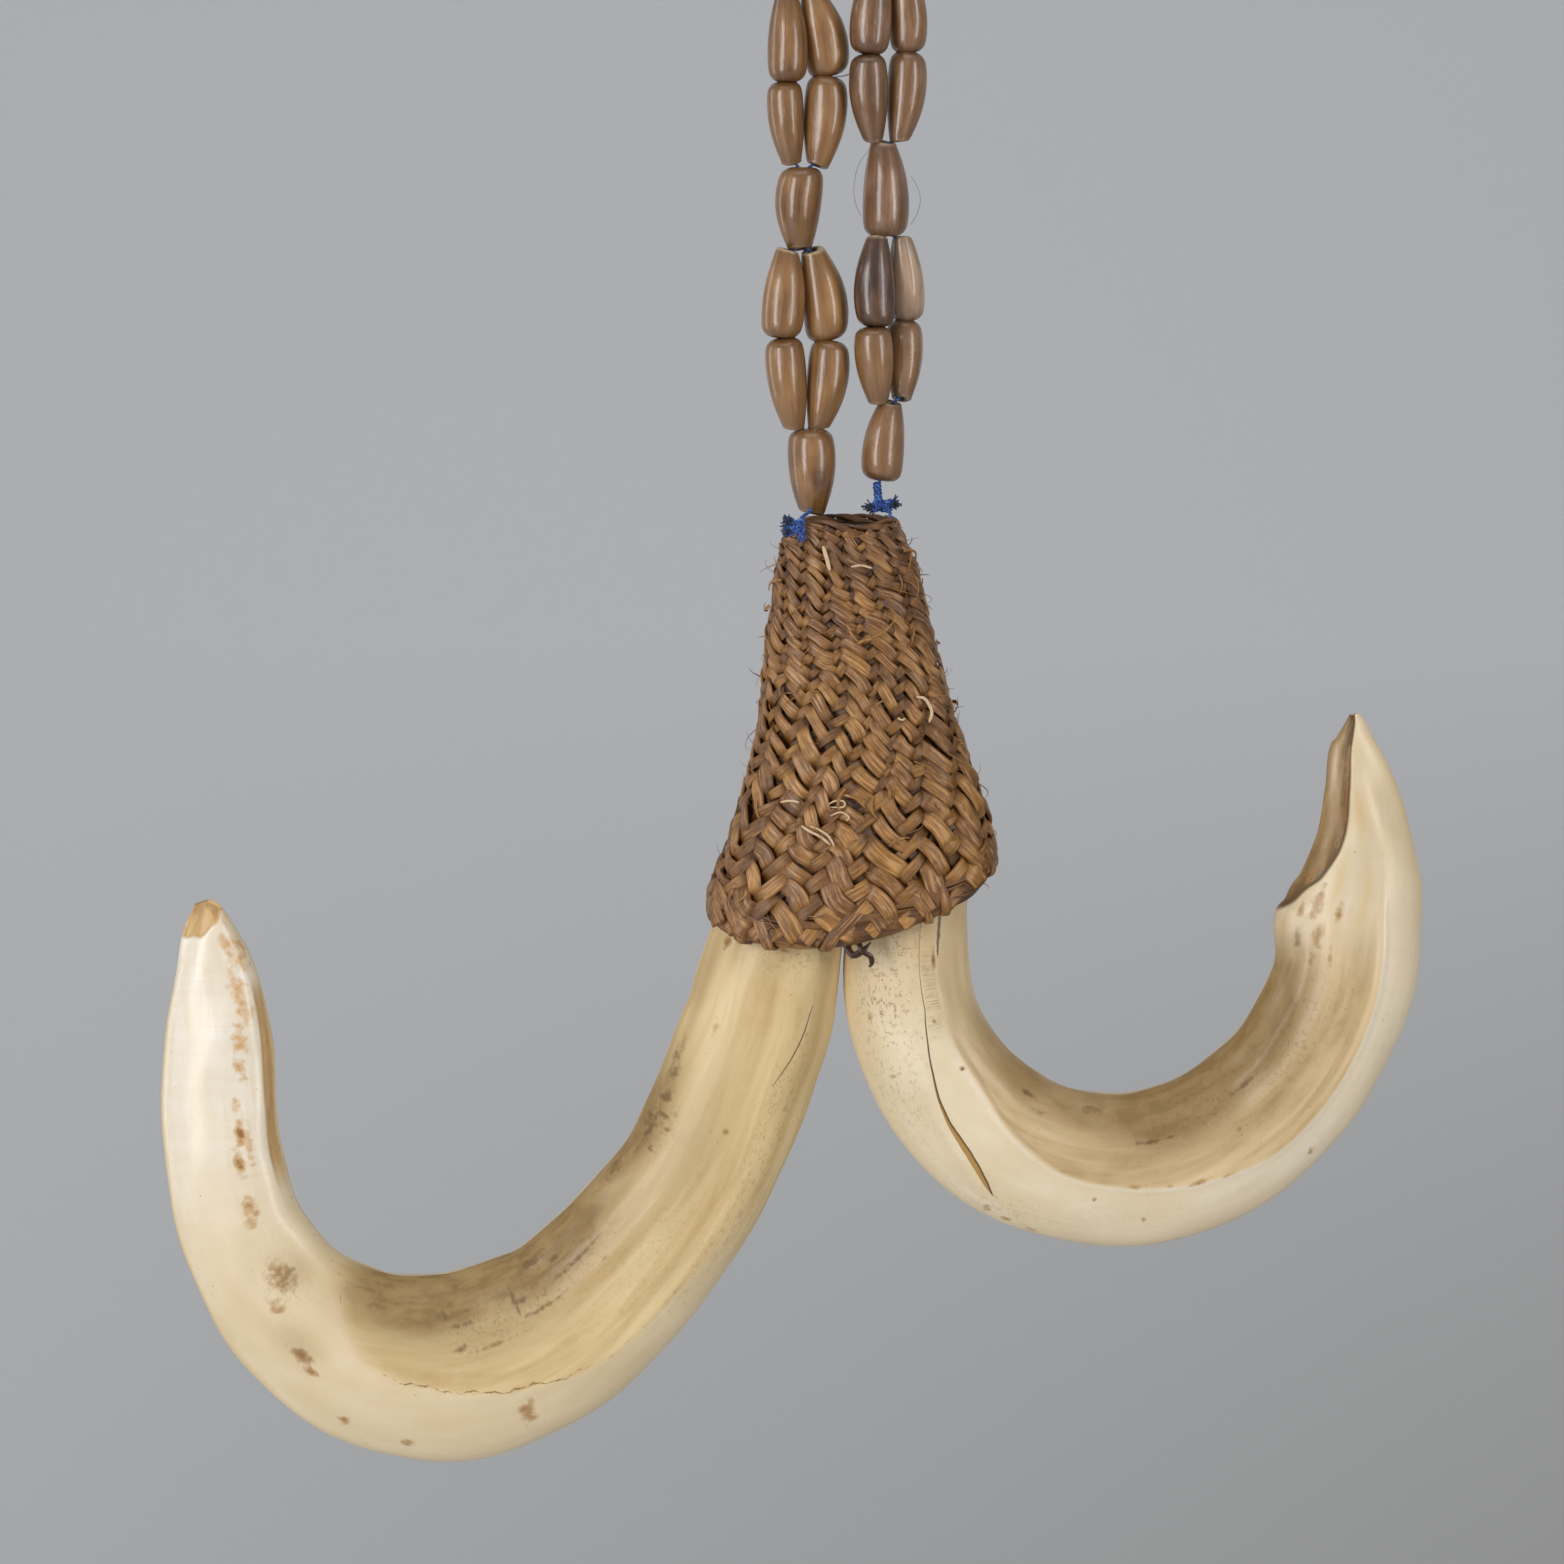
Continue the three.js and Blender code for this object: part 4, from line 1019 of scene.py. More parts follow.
def rope(height, outset, radius, strands, pitch, strand_size, seed):
    """Strands that wind round each other all the way round the sleeve."""
    angle = np.linspace(0, 2 * math.pi, ROPE_POINTS, endpoint=False)
    centre, out = sleeve_at(angle, height(angle), outset)
    ahead = unit(np.roll(centre, -1, axis=0) - np.roll(centre, 1, axis=0))
    upward = np.cross(ahead, out)
    step = np.linalg.norm(np.roll(centre, -1, axis=0) - centre, axis=1)
    walked = np.concatenate([[0], np.cumsum(step)[:-1]])
    turns = max(1, round(float(walked[-1]) / pitch))
    loops = []
    for k in range(strands):
        phase = 2 * math.pi * (k / strands + turns * walked / (walked[-1] + step[-1]))
        spoke = out * np.cos(phase)[:, None] + upward * np.sin(phase)[:, None]
        way = centre + spoke * (radius * (1 + 0.12 * soft_noise(angle, seed + k)))[:, None]
        rings = sweep(np.vstack([way, way[:2]]), np.vstack([spoke, spoke[:2]]), STRIP_SECTION * strand_size)
        # The strands are painted dark and a little deep, as the rim's darker brown and as painted shade.
        shade = 0.27 + 0.36 * soft_noise(np.arange(len(rings)) / 60.0, seed + 50 + k)
        along = np.append(walked, [walked[-1] + 1, walked[-1] + 2]) + 71.0 * k
        loops.append((rings, {"shade": shade, "sunk": 0.26, "across": STRIP_ACROSS, "along": along}))
    return loops


# %% Wraps
WRAPS = 15
WRAP_POINTS = 44
WRAP_THICKNESS = 0.62
# A wrap's way: how far along the rim, above its edge and out from the form.
WRAP_WAY = np.array([
    (-2.6, 9.4, -1.7), (-2.1, 7.8, -0.7), (-1.4, 5.6, -0.2), (-0.7, 3.9, 0.0), (0, 2.3, 0.05),
    (0.4, 0.8, -0.2),
    (0.6, 0.1, -1.1), (0.7, 0.3, -2.2), (0.8, 1.3, -2.8),
])


def wrap(index):
    """A short strip that comes down over the rim and turns under it."""
    r = np.random.default_rng(900 + index)
    base = 2 * math.pi * (index + r.uniform(-0.45, 0.45)) / WRAPS
    slant = r.choice((-0.8, 1, 1, 1)) * r.uniform(0.6, 2.6)
    way = spline(WRAP_WAY * (slant, r.uniform(0.6, 1.15), 1), WRAP_POINTS)
    point, _ = sleeve_at(base, float(rim_height(base)), 0)
    angle = base + way[:, 0] / max(float(np.hypot(point[0], point[1])), 9.0)
    path, out = sleeve_at(angle, rim_height(angle) + way[:, 1], way[:, 2])
    ahead = unit(np.stack([-out[:, 1], out[:, 0], 0 * angle], -1))
    facing = np.cross(unit(np.gradient(path, axis=0)), ahead)
    step = np.arange(WRAP_POINTS)
    width = r.uniform(1.3, 2.3) * np.interp(step, (0, 6, 43), (0.6, 1, 0.9))
    section = STRIP_SECTION[None] * np.stack([width, 0 * width + WRAP_THICKNESS], -1)[:, None]
    # A wrap is painted dark, as the rim's darker brown and as painted shade, and darkest at its ends where
    # it tucks under: painted shadow.
    return sweep(path, facing, section), {
        "shade": r.uniform(0.05, 0.52), "sunk": np.interp(step, (0, 8, 40, 43), (0.8, 0, 0, 0.7)),
        "across": STRIP_ACROSS, "along": step * 0.4 + 13.0 * index}


rim_parts = [loop for settings in RIM_ROPES for loop in rope(*settings)]
rim = join("rolled_rim", rim_parts + [wrap(k) for k in range(WRAPS)])

# %% Lining
LINING_TOP = -106.6
LINING_OUTSETS = (-1.15, -1.9)


def lining():
    """A thin shell just inside the strips, open at both ends."""
    angle = np.linspace(0, 2 * math.pi, 96, endpoint=False)
    fall = rim_height(angle) + 2.0 - LINING_TOP
    down = np.linspace(0, 1, 24)
    outer = [sleeve_at(angle, LINING_TOP + fall * share, LINING_OUTSETS[0])[0] for share in down]
    inner = [sleeve_at(angle, LINING_TOP + fall * share, LINING_OUTSETS[1])[0] for share in down[::-1]]
    rings = np.array(outer + inner)
    faces = grid_faces(*rings.shape[:2], closed_rows=True)
    return smooth_mesh("lining", rings.reshape(-1, 3), [face[::-1] for face in faces])


# %% [markdown]
# ## Loose fibres
# Dry leaf splits as it is handled. Fine fibres stand off the plait and catch the light at its
# outline, and thin splits have sprung out and lie over it in curls. Hair particles could do the
# first, but a few swept threads are enough and stay real geometry.


# %% Fine fibres and splits
def stray_fibre(index):
    """A fine fibre that has come loose from the plait."""
    r = np.random.default_rng(5000 + index)
    angle = r.uniform(0, 2 * math.pi)
    height = r.uniform(rim_height(angle) + 1, SLEEVE_TOP)
    start, out = sleeve_at(angle, height, -0.1)
    aside = np.array([-out[1], out[0], 0.0]) * r.choice((-1, 1))
    along = unit(aside * r.uniform(0.4, 1) + np.array([0, 0, r.uniform(-1, 1)]))
    reach = r.uniform(1.2, 4.5)
    t = np.linspace(0, 1, 9)[:, None]
    rise = r.uniform(0.15, 0.5) * reach
    arch = out * rise * np.sin(t * math.pi * r.uniform(0.5, 1))
    path = start + along * reach * t + arch + aside * 0.3 * t * t
    thin = np.linspace(1, 0.3, 9)[:, None, None] * round_section(4, r.uniform(0.04, 0.11))[None]
    return sweep(path, np.broadcast_to(out, path.shape), thin), {
        "shade": r.uniform(0.6, 1.2), "sunk": 0, "across": 0, "along": t[:, 0] * 3}


def loose_split(index):
    """A thin split of leaf that has sprung out of the plait and lies over it in a curve."""
    r = np.random.default_rng(7000 + index)
    angle = r.uniform(math.pi, 2 * math.pi) if index % 3 else r.uniform(0, math.pi)
    height = r.uniform(rim_height(angle) + 4, SLEEVE_TOP - 3)
    start, out = sleeve_at(angle, height, 0.1)
    aside = np.array([-out[1], out[0], 0.0])
    heading = r.uniform(0, 2 * math.pi)
    bend = r.uniform(0.2, 1.6) * r.choice((-1, 1)) * (2.2 if index % 9 == 0 else 1)
    reach = r.uniform(1.6, 4.6)
    t = np.linspace(0, 1, 26)
    step = reach / 25
    sideways = np.cumsum(np.cos(heading + bend * t))[:, None] * step
    upwards = np.cumsum(np.sin(heading + bend * t))[:, None] * step
    rise = 0.15 + r.uniform(0.3, 0.8) * np.sin(math.pi * t)
    path = start + sideways * aside + upwards * np.array((0.0, 0, 1)) + out * rise[:, None]
    path = path - out * sideways ** 2 / 30
    width = np.interp(t, (0, 0.2, 1), (0.5, 1, 0.5)) * r.uniform(0.25, 0.6)
    size = STRIP_SECTION[None] * width[:, None, None] * (1, 0.4)
    return sweep(path, np.broadcast_to(out, path.shape), size), {
        "shade": r.uniform(0.6, 1.15), "sunk": 0, "across": 0, "along": t * reach}


loose = join("loose_splits", [loose_split(k) for k in range(46)])

# %% Curls that are placed one by one
# The dark scrap of leaf under the rim: the middle line of each curl in millimetres, and its width.
DARK_CURLS = (
    (((-1.2, -8.8, -163.6), (-0.2, -9.2, -166.0), (0.9, -9.6, -167.4), (2.4, -9.6, -166.6),
      (3.4, -9.3, -165.6)), 1.0),
    (((1.4, -9.4, -165.2), (2.2, -9.9, -166.8), (3.3, -9.7, -167.6), (3.5, -9.4, -168.6),
      (3.1, -9.2, -169.2)), 0.8),
    (((0.2, -8.8, -164.0), (0.4, -9.2, -166.6), (0.7, -9.2, -168.0)), 0.5),
)
# The pale curls: the middle line of each, in millimetres across and up, and its width.
PALE_CURLS = (
    (((-6.5, -148.8), (-5.4, -149.5), (-3.8, -150.3), (-2.4, -151.4)), 0.36),
    (((-5.3, -148.8), (-4.2, -149.2), (-2.9, -150.0), (-2.2, -150.9), (-1.9, -151.6)), 0.3),
    (((-9.5, -145.6), (-8.1, -145.35), (-6.8, -145.5)), 0.3),
    (((-2.7, -145.7), (-1.65, -145.2), (-0.5, -145.3), (-0.6, -146.05), (-2.4, -146.1)), 0.24),
    (((-2.4, -147.3), (-0.9, -146.8), (0.2, -147.5), (-0.2, -148.0)), 0.24),
    (((9.8, -130.7), (10.9, -131.0), (11.6, -131.9), (12.0, -133.1), (11.6, -134.4)), 0.45),
    (((7.1, -133.6), (7.7, -133.9), (8.2, -133.7)), 0.26),
    (((-3.45, -109.4), (-3.0, -110.9), (-2.5, -112.8)), 0.55),
    (((0.5, -112.3), (1.9, -112.1), (3.55, -112.5)), 0.3),
)
PALE_CURL_OUTSET = 0.75


def dark_curl(points, width):
    way = spline(points, 60)
    taper = np.interp(np.arange(60), (0, 40, 59), (width, width, 0.2))
    size = STRIP_SECTION[None] * taper[:, None, None] * (1, 0.6)
    facing = np.broadcast_to((0.0, -1, 0.15), way.shape)
    return sweep(way, facing, size), {"shade": 0, "sunk": 0.85, "across": 0, "along": 1}


def pale_curl(points, width):
    """A pale split of leaf that stands off the front of the sleeve."""
    places = []
    for x, z in points:
        left, right, depth = sleeve_sides(z)
        aside = min(abs(2 * x - left - right) / (right - left), 0.98)
        front = depth * (1 - aside ** SLEEVE_SQUARENESS) ** (1 / SLEEVE_SQUARENESS)
        places.append((x, -front - PALE_CURL_OUTSET, z))
    way = spline(places, 48)
    taper = np.interp(np.arange(48), (0, 8, 40, 47), (0.5, 1, 1, 0.4))
    size = STRIP_SECTION[None] * taper[:, None, None] * (width, 0.16)
    return sweep(way, np.broadcast_to((0.0, -1, 0.2), way.shape), size), {}


fibre_parts = [stray_fibre(k) for k in range(190)]
fibres = join("stray_fibres", fibre_parts + [dark_curl(*curl) for curl in DARK_CURLS])
curls = join("pale_curls", [pale_curl(*curl) for curl in PALE_CURLS])

# %% [markdown]
# ## Dry leaf strips
# Leaf strips dry to a waxy brown. Each has its own shade and fine ribs along it. Where it comes
# over its neighbours its crown gets a painted highlight, its edges get painted shade, and where it
# dives under them it gets dark painted shadow and dust. The wax gives each strip a soft shine of
# its own, which a rough cloth finish would lose.


# %% Plaited fibre finish
def leaf_finish():
    """Dry split leaf, unpolished. Its ribs are drawn about twice as coarse as real ones."""
    material, surface, node = new_finish("dry_leaf_strip")
    read = ("shade", "sunk", "across", "along")
    kept = {key: node("Attribute", out="Fac", attribute_name=key) for key in read}
    place = node("CombineXYZ", {"X": kept["across"], "Y": kept["along"]})
    ribs = stretched_noise(node, place, (1.9, 0.13, 1), 1.5, 5, 0.7)
    patch = stretched_noise(node, place, (0.4, 0.45, 1), 1.1, 4, 0.6)
    own_shade = node("Math", (kept["shade"], node("MapRange", (patch, 0.3, 0.7, -0.22, 0.22))))
    brown = node("ValToRGB", (own_shade,))
    set_stops(brown, ((0.0, "#543212"), (0.5, "#8c5d26"), (1.0, "#b8843e")))
    # A painted highlight on the crown of each strip, where it lies on top.
    on_top = node("MapRange", (kept["sunk"], 0.28, 0.04, 0.0, 0.55))
    painted_crown_highlight = node("Math", (node("MapRange", (ribs, 0.5, 0.64)), on_top), operation="MULTIPLY")
    off_middle = node("Math", (kept["across"],), operation="ABSOLUTE")
    colour = coats(
        node, brown,
        (node("MapRange", (ribs, 0.38, 0.53, 0.62, 0.0)), "#4f2a0c"),
        (painted_crown_highlight, "#dcb088"),
        # Painted shade along each strip's edges, where it meets its neighbours.
        (node("MapRange", (off_middle, 0.75, 1.0, 0.0, 0.4)), "#3a1d09"),
        # Painted shadow and dust where the strip lies deep under its neighbours.
        (node("MapRange", (kept["sunk"], 0.12, 0.8, 0.0, 0.76)), "#2a1204"))
    bump = node("Bump", {"Strength": 0.8, "Distance": 0.26 * MM, "Height": ribs})
    material.node_tree.links.new(colour, surface.inputs["Base Color"])
    material.node_tree.links.new(bump, surface.inputs["Normal"])
    surface.inputs["Roughness"].default_value = 0.34
    surface.inputs["Coat Weight"].default_value = 0.15
    surface.inputs["Coat Roughness"].default_value = 0.28
    return material


def plain_finish(name, colour, roughness):
    """A finish of one colour, for a piece that is thin or hardly seen."""
    material, surface, _ = new_finish(name)
    surface.inputs["Base Color"].default_value = linear(colour)
    surface.inputs["Roughness"].default_value = roughness
    return material


leaf = leaf_finish()
for part in (strips_down_right, strips_down_left, rim, loose, fibres):
    dress(part, "plaited_fibre", leaf, "plaited_sleeve")
dress(curls, "plaited_fibre", plain_finish("pale_leaf_split", "#cfb48e", 0.42), "plaited_sleeve")
# The lining's dark brown is painted shade, for the shadowed inside of the sleeve.
lining_finish = plain_finish("shaded_leaf_lining", "#3b2818", 0.9)
dress(lining(), "plaited_fibre", lining_finish, "plaited_sleeve")
print("sleeve dressed in dry leaf")

# %% [markdown]
# ## Seed beads
# The beads are Job's-tears: hard, shiny seeds like long drops. Each has a blunt cut at its narrow
# end and a hole right through, and they sit single, in a pair, in a pair, single. No two are the
# same: each one is a little bent, a little oval, and has its own brown. A turned outline alone
# would look machined, so each seed's rings are swept along its own bent middle.

# %% Where the seeds are
# Each row: the seed's number, its top and its bottom as x and z, how far back its wide end
# stands, its width, which of its ends is narrow, and how far it is bent.
LEFT_BEADS = [
    ("7", -5.6, -20.4, -6.4, -31.3, 0, 6.6, "bottom", 0.0),
    ("6a", -8.6, -31.9, -8.5, -43.9, -1.8, 5.7, "top", 0.1),
    ("6b", -5.0, -31.9, -2.7, -43, 1.8, 6.4, "top", 0.5),
    ("5a", -8.9, -44.4, -7.9, -55.3, -1, 5.3, "bottom", -0.2),
    ("5b", -2.9, -43.6, -4.2, -55.7, 1.2, 6.1, "bottom", 0.3),
    ("4", -6.3, -56.4, -6.7, -67.4, 0, 6.6, "bottom", -0.5),
    ("3a", -8.5, -68, -9.4, -79.9, -1.7, 6.1, "top", 0.1),
    ("3b", -4.9, -68, -2.9, -80.3, 1.7, 6.5, "top", 0.6),
    ("2a", -9.0, -80.5, -7.6, -92.7, -1.1, 5.9, "bottom", -0.2),
    ("2b", -2.4, -80.9, -4.0, -92.8, 1.1, 5.9, "bottom", 0.3),
    ("1", -5.2, -93.4, -5.0, -104.9, 0, 6.9, "bottom", 0.1),
]
RIGHT_BEADS = [
    ("7", 5.0, -14.6, 5.8, -27.5, 0, 6.7, "top", 0.2),
    ("6a", 4.1, -28.1, 3.0, -40, -1.5, 5.8, "top", -0.2),
    ("6b", 7.8, -28.1, 8.6, -39.7, 1.6, 5.4, "top", 0.3),
    ("5a", 2.9, -40.6, 3.6, -52.2, -1.5, 5.4, "bottom", -0.2),
    ("5b", 8.6, -40.2, 7.4, -52.2, 1.6, 5.5, "bottom", 0.3),
    ("4", 5.1, -52.8, 5.4, -65.6, 0, 6.8, "top", 0.2),
    ("3a", 4.2, -66.3, 4.1, -78.3, -1.6, 5.8, "top", -0.3),
    ("3b", 7.8, -66.2, 8.6, -77.5, 3.4, 5.3, "top", 0.2),
    ("2a", 3.6, -78.9, 4.4, -89, -1.6, 5.6, "bottom", -0.1),
    ("2b", 8.2, -78.1, 7.8, -88.7, 3.4, 5.3, "bottom", 0.2),
    ("1", 6.2, -89.6, 4.9, -100.2, 0, 6.2, "top", -0.3),
]
# From inside the hole at the cut end, over the lip and the widest part, to inside the hole at the
# far end: how far along the seed, and the radius as a share of the widest.
SEED_OUTLINE = [
    (0.10, 0.12), (0.03, 0.17), (0.004, 0.28), (0.0, 0.40), (0.01, 0.50), (0.045, 0.56), (0.1, 0.63),
    (0.2, 0.75), (0.35, 0.89), (0.5, 0.97), (0.62, 1.0), (0.75, 0.995), (0.86, 0.95), (0.93, 0.86),
    (0.98, 0.66), (1.0, 0.42), (0.997, 0.24), (0.97, 0.15), (0.88, 0.12),
]
SEED_ROWS = 76
SEED_COLUMNS = 44
SEED_REACH = 0.3
# From the top bead down: how pale each one is, how warm, and how much pale edge its cut end shows.
SEED_TONES = {
    "left": (0.5, 0.35, 0.6, 0.35, 0.5, 0.3, 0.5, 0.65, 0.45, 0.5, 0.4),
    "right": (0.5, 0.42, 0.5, 0.34, 0.5, 0.5, 0.14, 1.0, 0.5, 0.6, 0.5),
}
SEED_WARMTH = {
    "left": (0.2, 0.2, 0.2, 0.2, 0.2, 0.2, 0.2, 0.2, 0.2, 0.2, 0.0),
    "right": (0.35, 0.2, 0.35, 0.2, 0.35, 0.1, 0.0, 0.0, 0.6, 0.5, 0.5),
}
SEED_CUTS = {
    "left": (0.3, 0.4, 0.3, 0.2, 0.2, 0.2, 1.0, 1.0, 0.3, 0.3, 0.3),
    "right": (0.3, 0.3, 0.3, 0.2, 0.2, 0.6, 0.7, 0.7, 0.3, 0.4, 0.3),
}
print(len(LEFT_BEADS) + len(RIGHT_BEADS), "seeds")


# %% One seed
def bead_ends(row):
    """The top and the bottom of a bead: its wide end stands back by the whole set-back."""
    _, top_x, top_z, bottom_x, bottom_z, back, _, narrow, _ = row
    top = np.array((top_x, back / 2 if narrow == "top" else back, top_z))
    bottom = np.array((bottom_x, back / 2 if narrow == "bottom" else back, bottom_z))
    return top, bottom


def make_bead(side, number, row):
    """A seed from its narrow end to its wide end, with its groove, its lip and its hole."""
    label, *_, width, narrow, bend = row
    r = np.random.default_rng(70 + number + (100 if side == "right" else 0))
    top, bottom = bead_ends(row)
    start, end = (top, bottom) if narrow == "top" else (bottom, top)
    reach = unit(end - start) * SEED_REACH
    start, end = start - reach, end + reach
    outline = spline(SEED_OUTLINE, SEED_ROWS)
    share, radius = outline[:, 0], outline[:, 1] * width / 2
    along = unit(end - start)
    right = unit(np.cross(along, (0, 1, 0)))
    right = right if right[0] > 0 else -right
    back = np.cross(along, right)
    angle = np.linspace(0, 2 * math.pi, SEED_COLUMNS, endpoint=False)[None, :]
    body = np.clip(np.sin(share * math.pi), 0, 1)[:, None]
    oval = 1 + body * 0.03 * np.cos(2 * (angle - r.uniform(0, 3)))
    oval = oval + body * 0.015 * np.cos(3 * (angle - r.uniform(0, 3)))
    from_groove = np.angle(np.exp(1j * (angle - r.uniform(0, 2 * math.pi))))
    oval = oval - 0.035 * body * np.exp(-(from_groove / 0.28) ** 2)
    lip = 0.05 * np.exp(-((share - 0.012) / 0.02) ** 2)[:, None] * np.cos(angle * 2 + r.uniform(0, 6))
    ring = radius[:, None] * (oval + lip)
    tilt = 0.05 * width * (1 - share)[:, None] ** 6 * np.cos(angle - r.uniform(0, 6))
    length = float(np.linalg.norm(end - start))
    bow = right * (bend * np.sin(share * math.pi))[:, None]
    centre = start + along * (share * length)[:, None] + bow
    spoke = right * np.cos(angle)[..., None] + back * np.sin(angle)[..., None]
    points = centre[:, None] + spoke * ring[..., None] + along * tilt[..., None]
    # The outline's own points tell the pale cut edge and the hole from the shell; the hole is painted near
    # black, as painted shade inside the bore.
    at_knot = np.arange(SEED_ROWS) * (len(SEED_OUTLINE) - 1) / (SEED_ROWS - 1)
    pale = np.interp(at_knot, (1.6, 2.4, 4.2, 5.0), (0, 1, 1, 0)) * SEED_CUTS[side][number]
    hole = np.interp(at_knot, (0, 1, 1.8, 16.2, 17, 18), (1, 1, 0, 0, 1, 1))
    whole = np.ones_like(ring)
    down_shell = share[:, None] + r.uniform(0, 90)
    grain = np.stack([np.cos(angle) * whole, np.sin(angle) * whole, down_shell * whole], -1)
    marks = {
        "share": share[:, None], "pale": pale[:, None], "hole": hole[:, None],
        "own": SEED_TONES[side][number], "warm": SEED_WARMTH[side][number]}
    marks = {key: (value * whole).ravel() for key, value in marks.items()}
    faces = grid_faces(SEED_ROWS, SEED_COLUMNS) + cap_faces(SEED_ROWS, SEED_COLUMNS)
    if np.dot(np.cross(right, back), along) > 0:
        faces = [face[::-1] for face in faces]
    marks["grain"] = grain.reshape(-1, 3)
    return smooth_mesh(f"seed_{side}_{label}", points.reshape(-1, 3), faces, marks)


# %% [markdown]
# ## Seed shell
# The shell of a Job's tear is as hard and smooth as glazed china, so it shows every lamp as a
# clear streak. Under the gloss it is brown, darker at its ends, with fine streaks from end to end.
# A rough brown base under a clear coat gives both at once.


# %% Seed finish
def seed_finish(name, browns, end_brown):
    """A glossy seed shell, with browns for its dark, middle and light shades."""
    material, surface, node = new_finish(name)
    read = ("share", "own", "pale", "hole", "warm")
    kept = {key: node("Attribute", out="Fac", attribute_name=key) for key in read}
    grain = node("Attribute", out="Vector", attribute_name="grain")
    streak = stretched_noise(node, grain, (3.0, 3.0, 0.7), 1.5, 6, 0.6, 0.3)
    cloud = stretched_noise(node, grain, (1.0, 1.0, 1.6), 1.3, 3, 0.5)
    dent = stretched_noise(node, grain, (0.8, 0.8, 2.2), 1.8, 2, 0.5)
    tone = node("Math", (streak, 0.32), operation="MULTIPLY")
    tone = node("Math", (cloud, 0.5, tone), operation="MULTIPLY_ADD")
    tone = node("Math", (kept["own"], 0.42, tone), operation="MULTIPLY_ADD")
    brown = node("ValToRGB", (tone,))
    set_stops(brown, tuple(zip((0.42, 0.61, 0.86), browns)))
    ends = node("FloatCurve", {"Value": kept["share"]})
    curve = ends.node.mapping.curves[0]
    curve.points[0].location = (0.0, 0.5)
    curve.points[1].location = (1.0, 0.55)
    for x, y in ((0.12, 0.2), (0.4, 0.0), (0.8, 0.05), (0.95, 0.4)):
        curve.points.new(x, y)
    ends.node.mapping.update()
    # The hole coat is painted shade inside the bore.
    colour = coats(
        node, brown,
        (kept["warm"], "#8f673a"), (ends, end_brown), (kept["pale"], "#ad9570"), (kept["hole"], "#1c130c"))
    uneven = node("Math", (dent, 2.5, streak), operation="MULTIPLY_ADD")
    bump = node("Bump", {"Strength": 0.4, "Distance": 0.22 * MM, "Height": uneven})
    material.node_tree.links.new(colour, surface.inputs["Base Color"])
    material.node_tree.links.new(bump, surface.inputs["Normal"])
    surface.inputs["Roughness"].default_value = 0.3
    surface.inputs["Coat Weight"].default_value = 0.8
    surface.inputs["Coat Roughness"].default_value = 0.16
    return material


golden = seed_finish("golden_seed_shell", ("#50331a", "#8a6137", "#b48a58"), "#4c3219")
grey = seed_finish("grey_seed_shell", ("#40291c", "#785338", "#b99a80"), "#3c281b")
for number, row in enumerate(LEFT_BEADS):
    dress(make_bead("left", number, row), "golden_seed", golden, "bead_left_" + row[0])
for number, row in enumerate(RIGHT_BEADS):
    dress(make_bead("right", number, row), "grey_seed", grey, "bead_right_" + row[0])
print("seeds made and dressed")

# %% [markdown]
# ## Thread
# Each strand hangs on two blue synthetic threads. They run together through a single seed and
# part to carry a pair. At the sleeve they end in knots whose cut ends have opened into tufts. A
# thread is two plies that wind round each other, because its twist shows at the knots.

# %% Thread sizes and knots
THREAD_RADIUS = 0.28
THREAD_PITCH = 1.3
TOP_KNOT = np.array((-0.2, 0, -10.4))
TOP_KNOT_RADIUS = 1.8
LOOP_RADIUS = 0.5
LOOP_HALF_WIDTH = 3.6
LEFT_KNOT = np.array((-7.4, -6.6, -106.8))
RIGHT_UPPER_KNOT = np.array((4.4, 0, -102.2))
RIGHT_LOWER_KNOT = np.array((5.0, 0, -104.1))
# Where each strand's threads go from the last seed to their knot.
LEFT_TAIL = ((-5.0, 0, -103.6), (-5.2, -2.5, -104.7), (-6.4, -5.6, -105.4), LEFT_KNOT)
RIGHT_TAIL = ((4.8, 0, -99.6), RIGHT_UPPER_KNOT, RIGHT_LOWER_KNOT, (6.1, -1.6, -104.6), (6.4, -3.4, -107.2))
# The tufts beside the knots are painted dark navy, as painted shade on the knots' side lobes.
SHADED_TUFT_ENDS = (-0.6, 0.25)


def strand_way(rows, letter, start):
    """The way of one of a strand's two threads: through every single seed and its own of each pair."""
    points = [start]
    for row in rows:
        if row[0][-1] in "ab" and row[0][-1] != letter:
            continue
        top, bottom = bead_ends(row)
        inset = unit(top - bottom) * 0.7
        points += [top - inset, bottom + inset]
    return points


def knot_coil(centre, size, seed, radius=0.34):
    """A tight knot: a thread that winds over and under itself."""
    r = np.random.default_rng(seed)
    t = np.linspace(0, 2 * math.pi, 220)
    across, rise = np.sin(t) + 2 * np.sin(2 * t), np.cos(t) - 2 * np.cos(2 * t)
    trefoil = np.stack([across, 1.4 * np.sin(3 * t), rise], 1) / 3
    spin = r.uniform(0, 6.28)
    c, s = math.cos(spin), math.sin(spin)
    trefoil = trefoil @ np.array([(c, 0, s), (0, 1, 0), (-s, 0, c)])
    return plied(centre + trefoil * np.asarray(size), radius, 1.4)


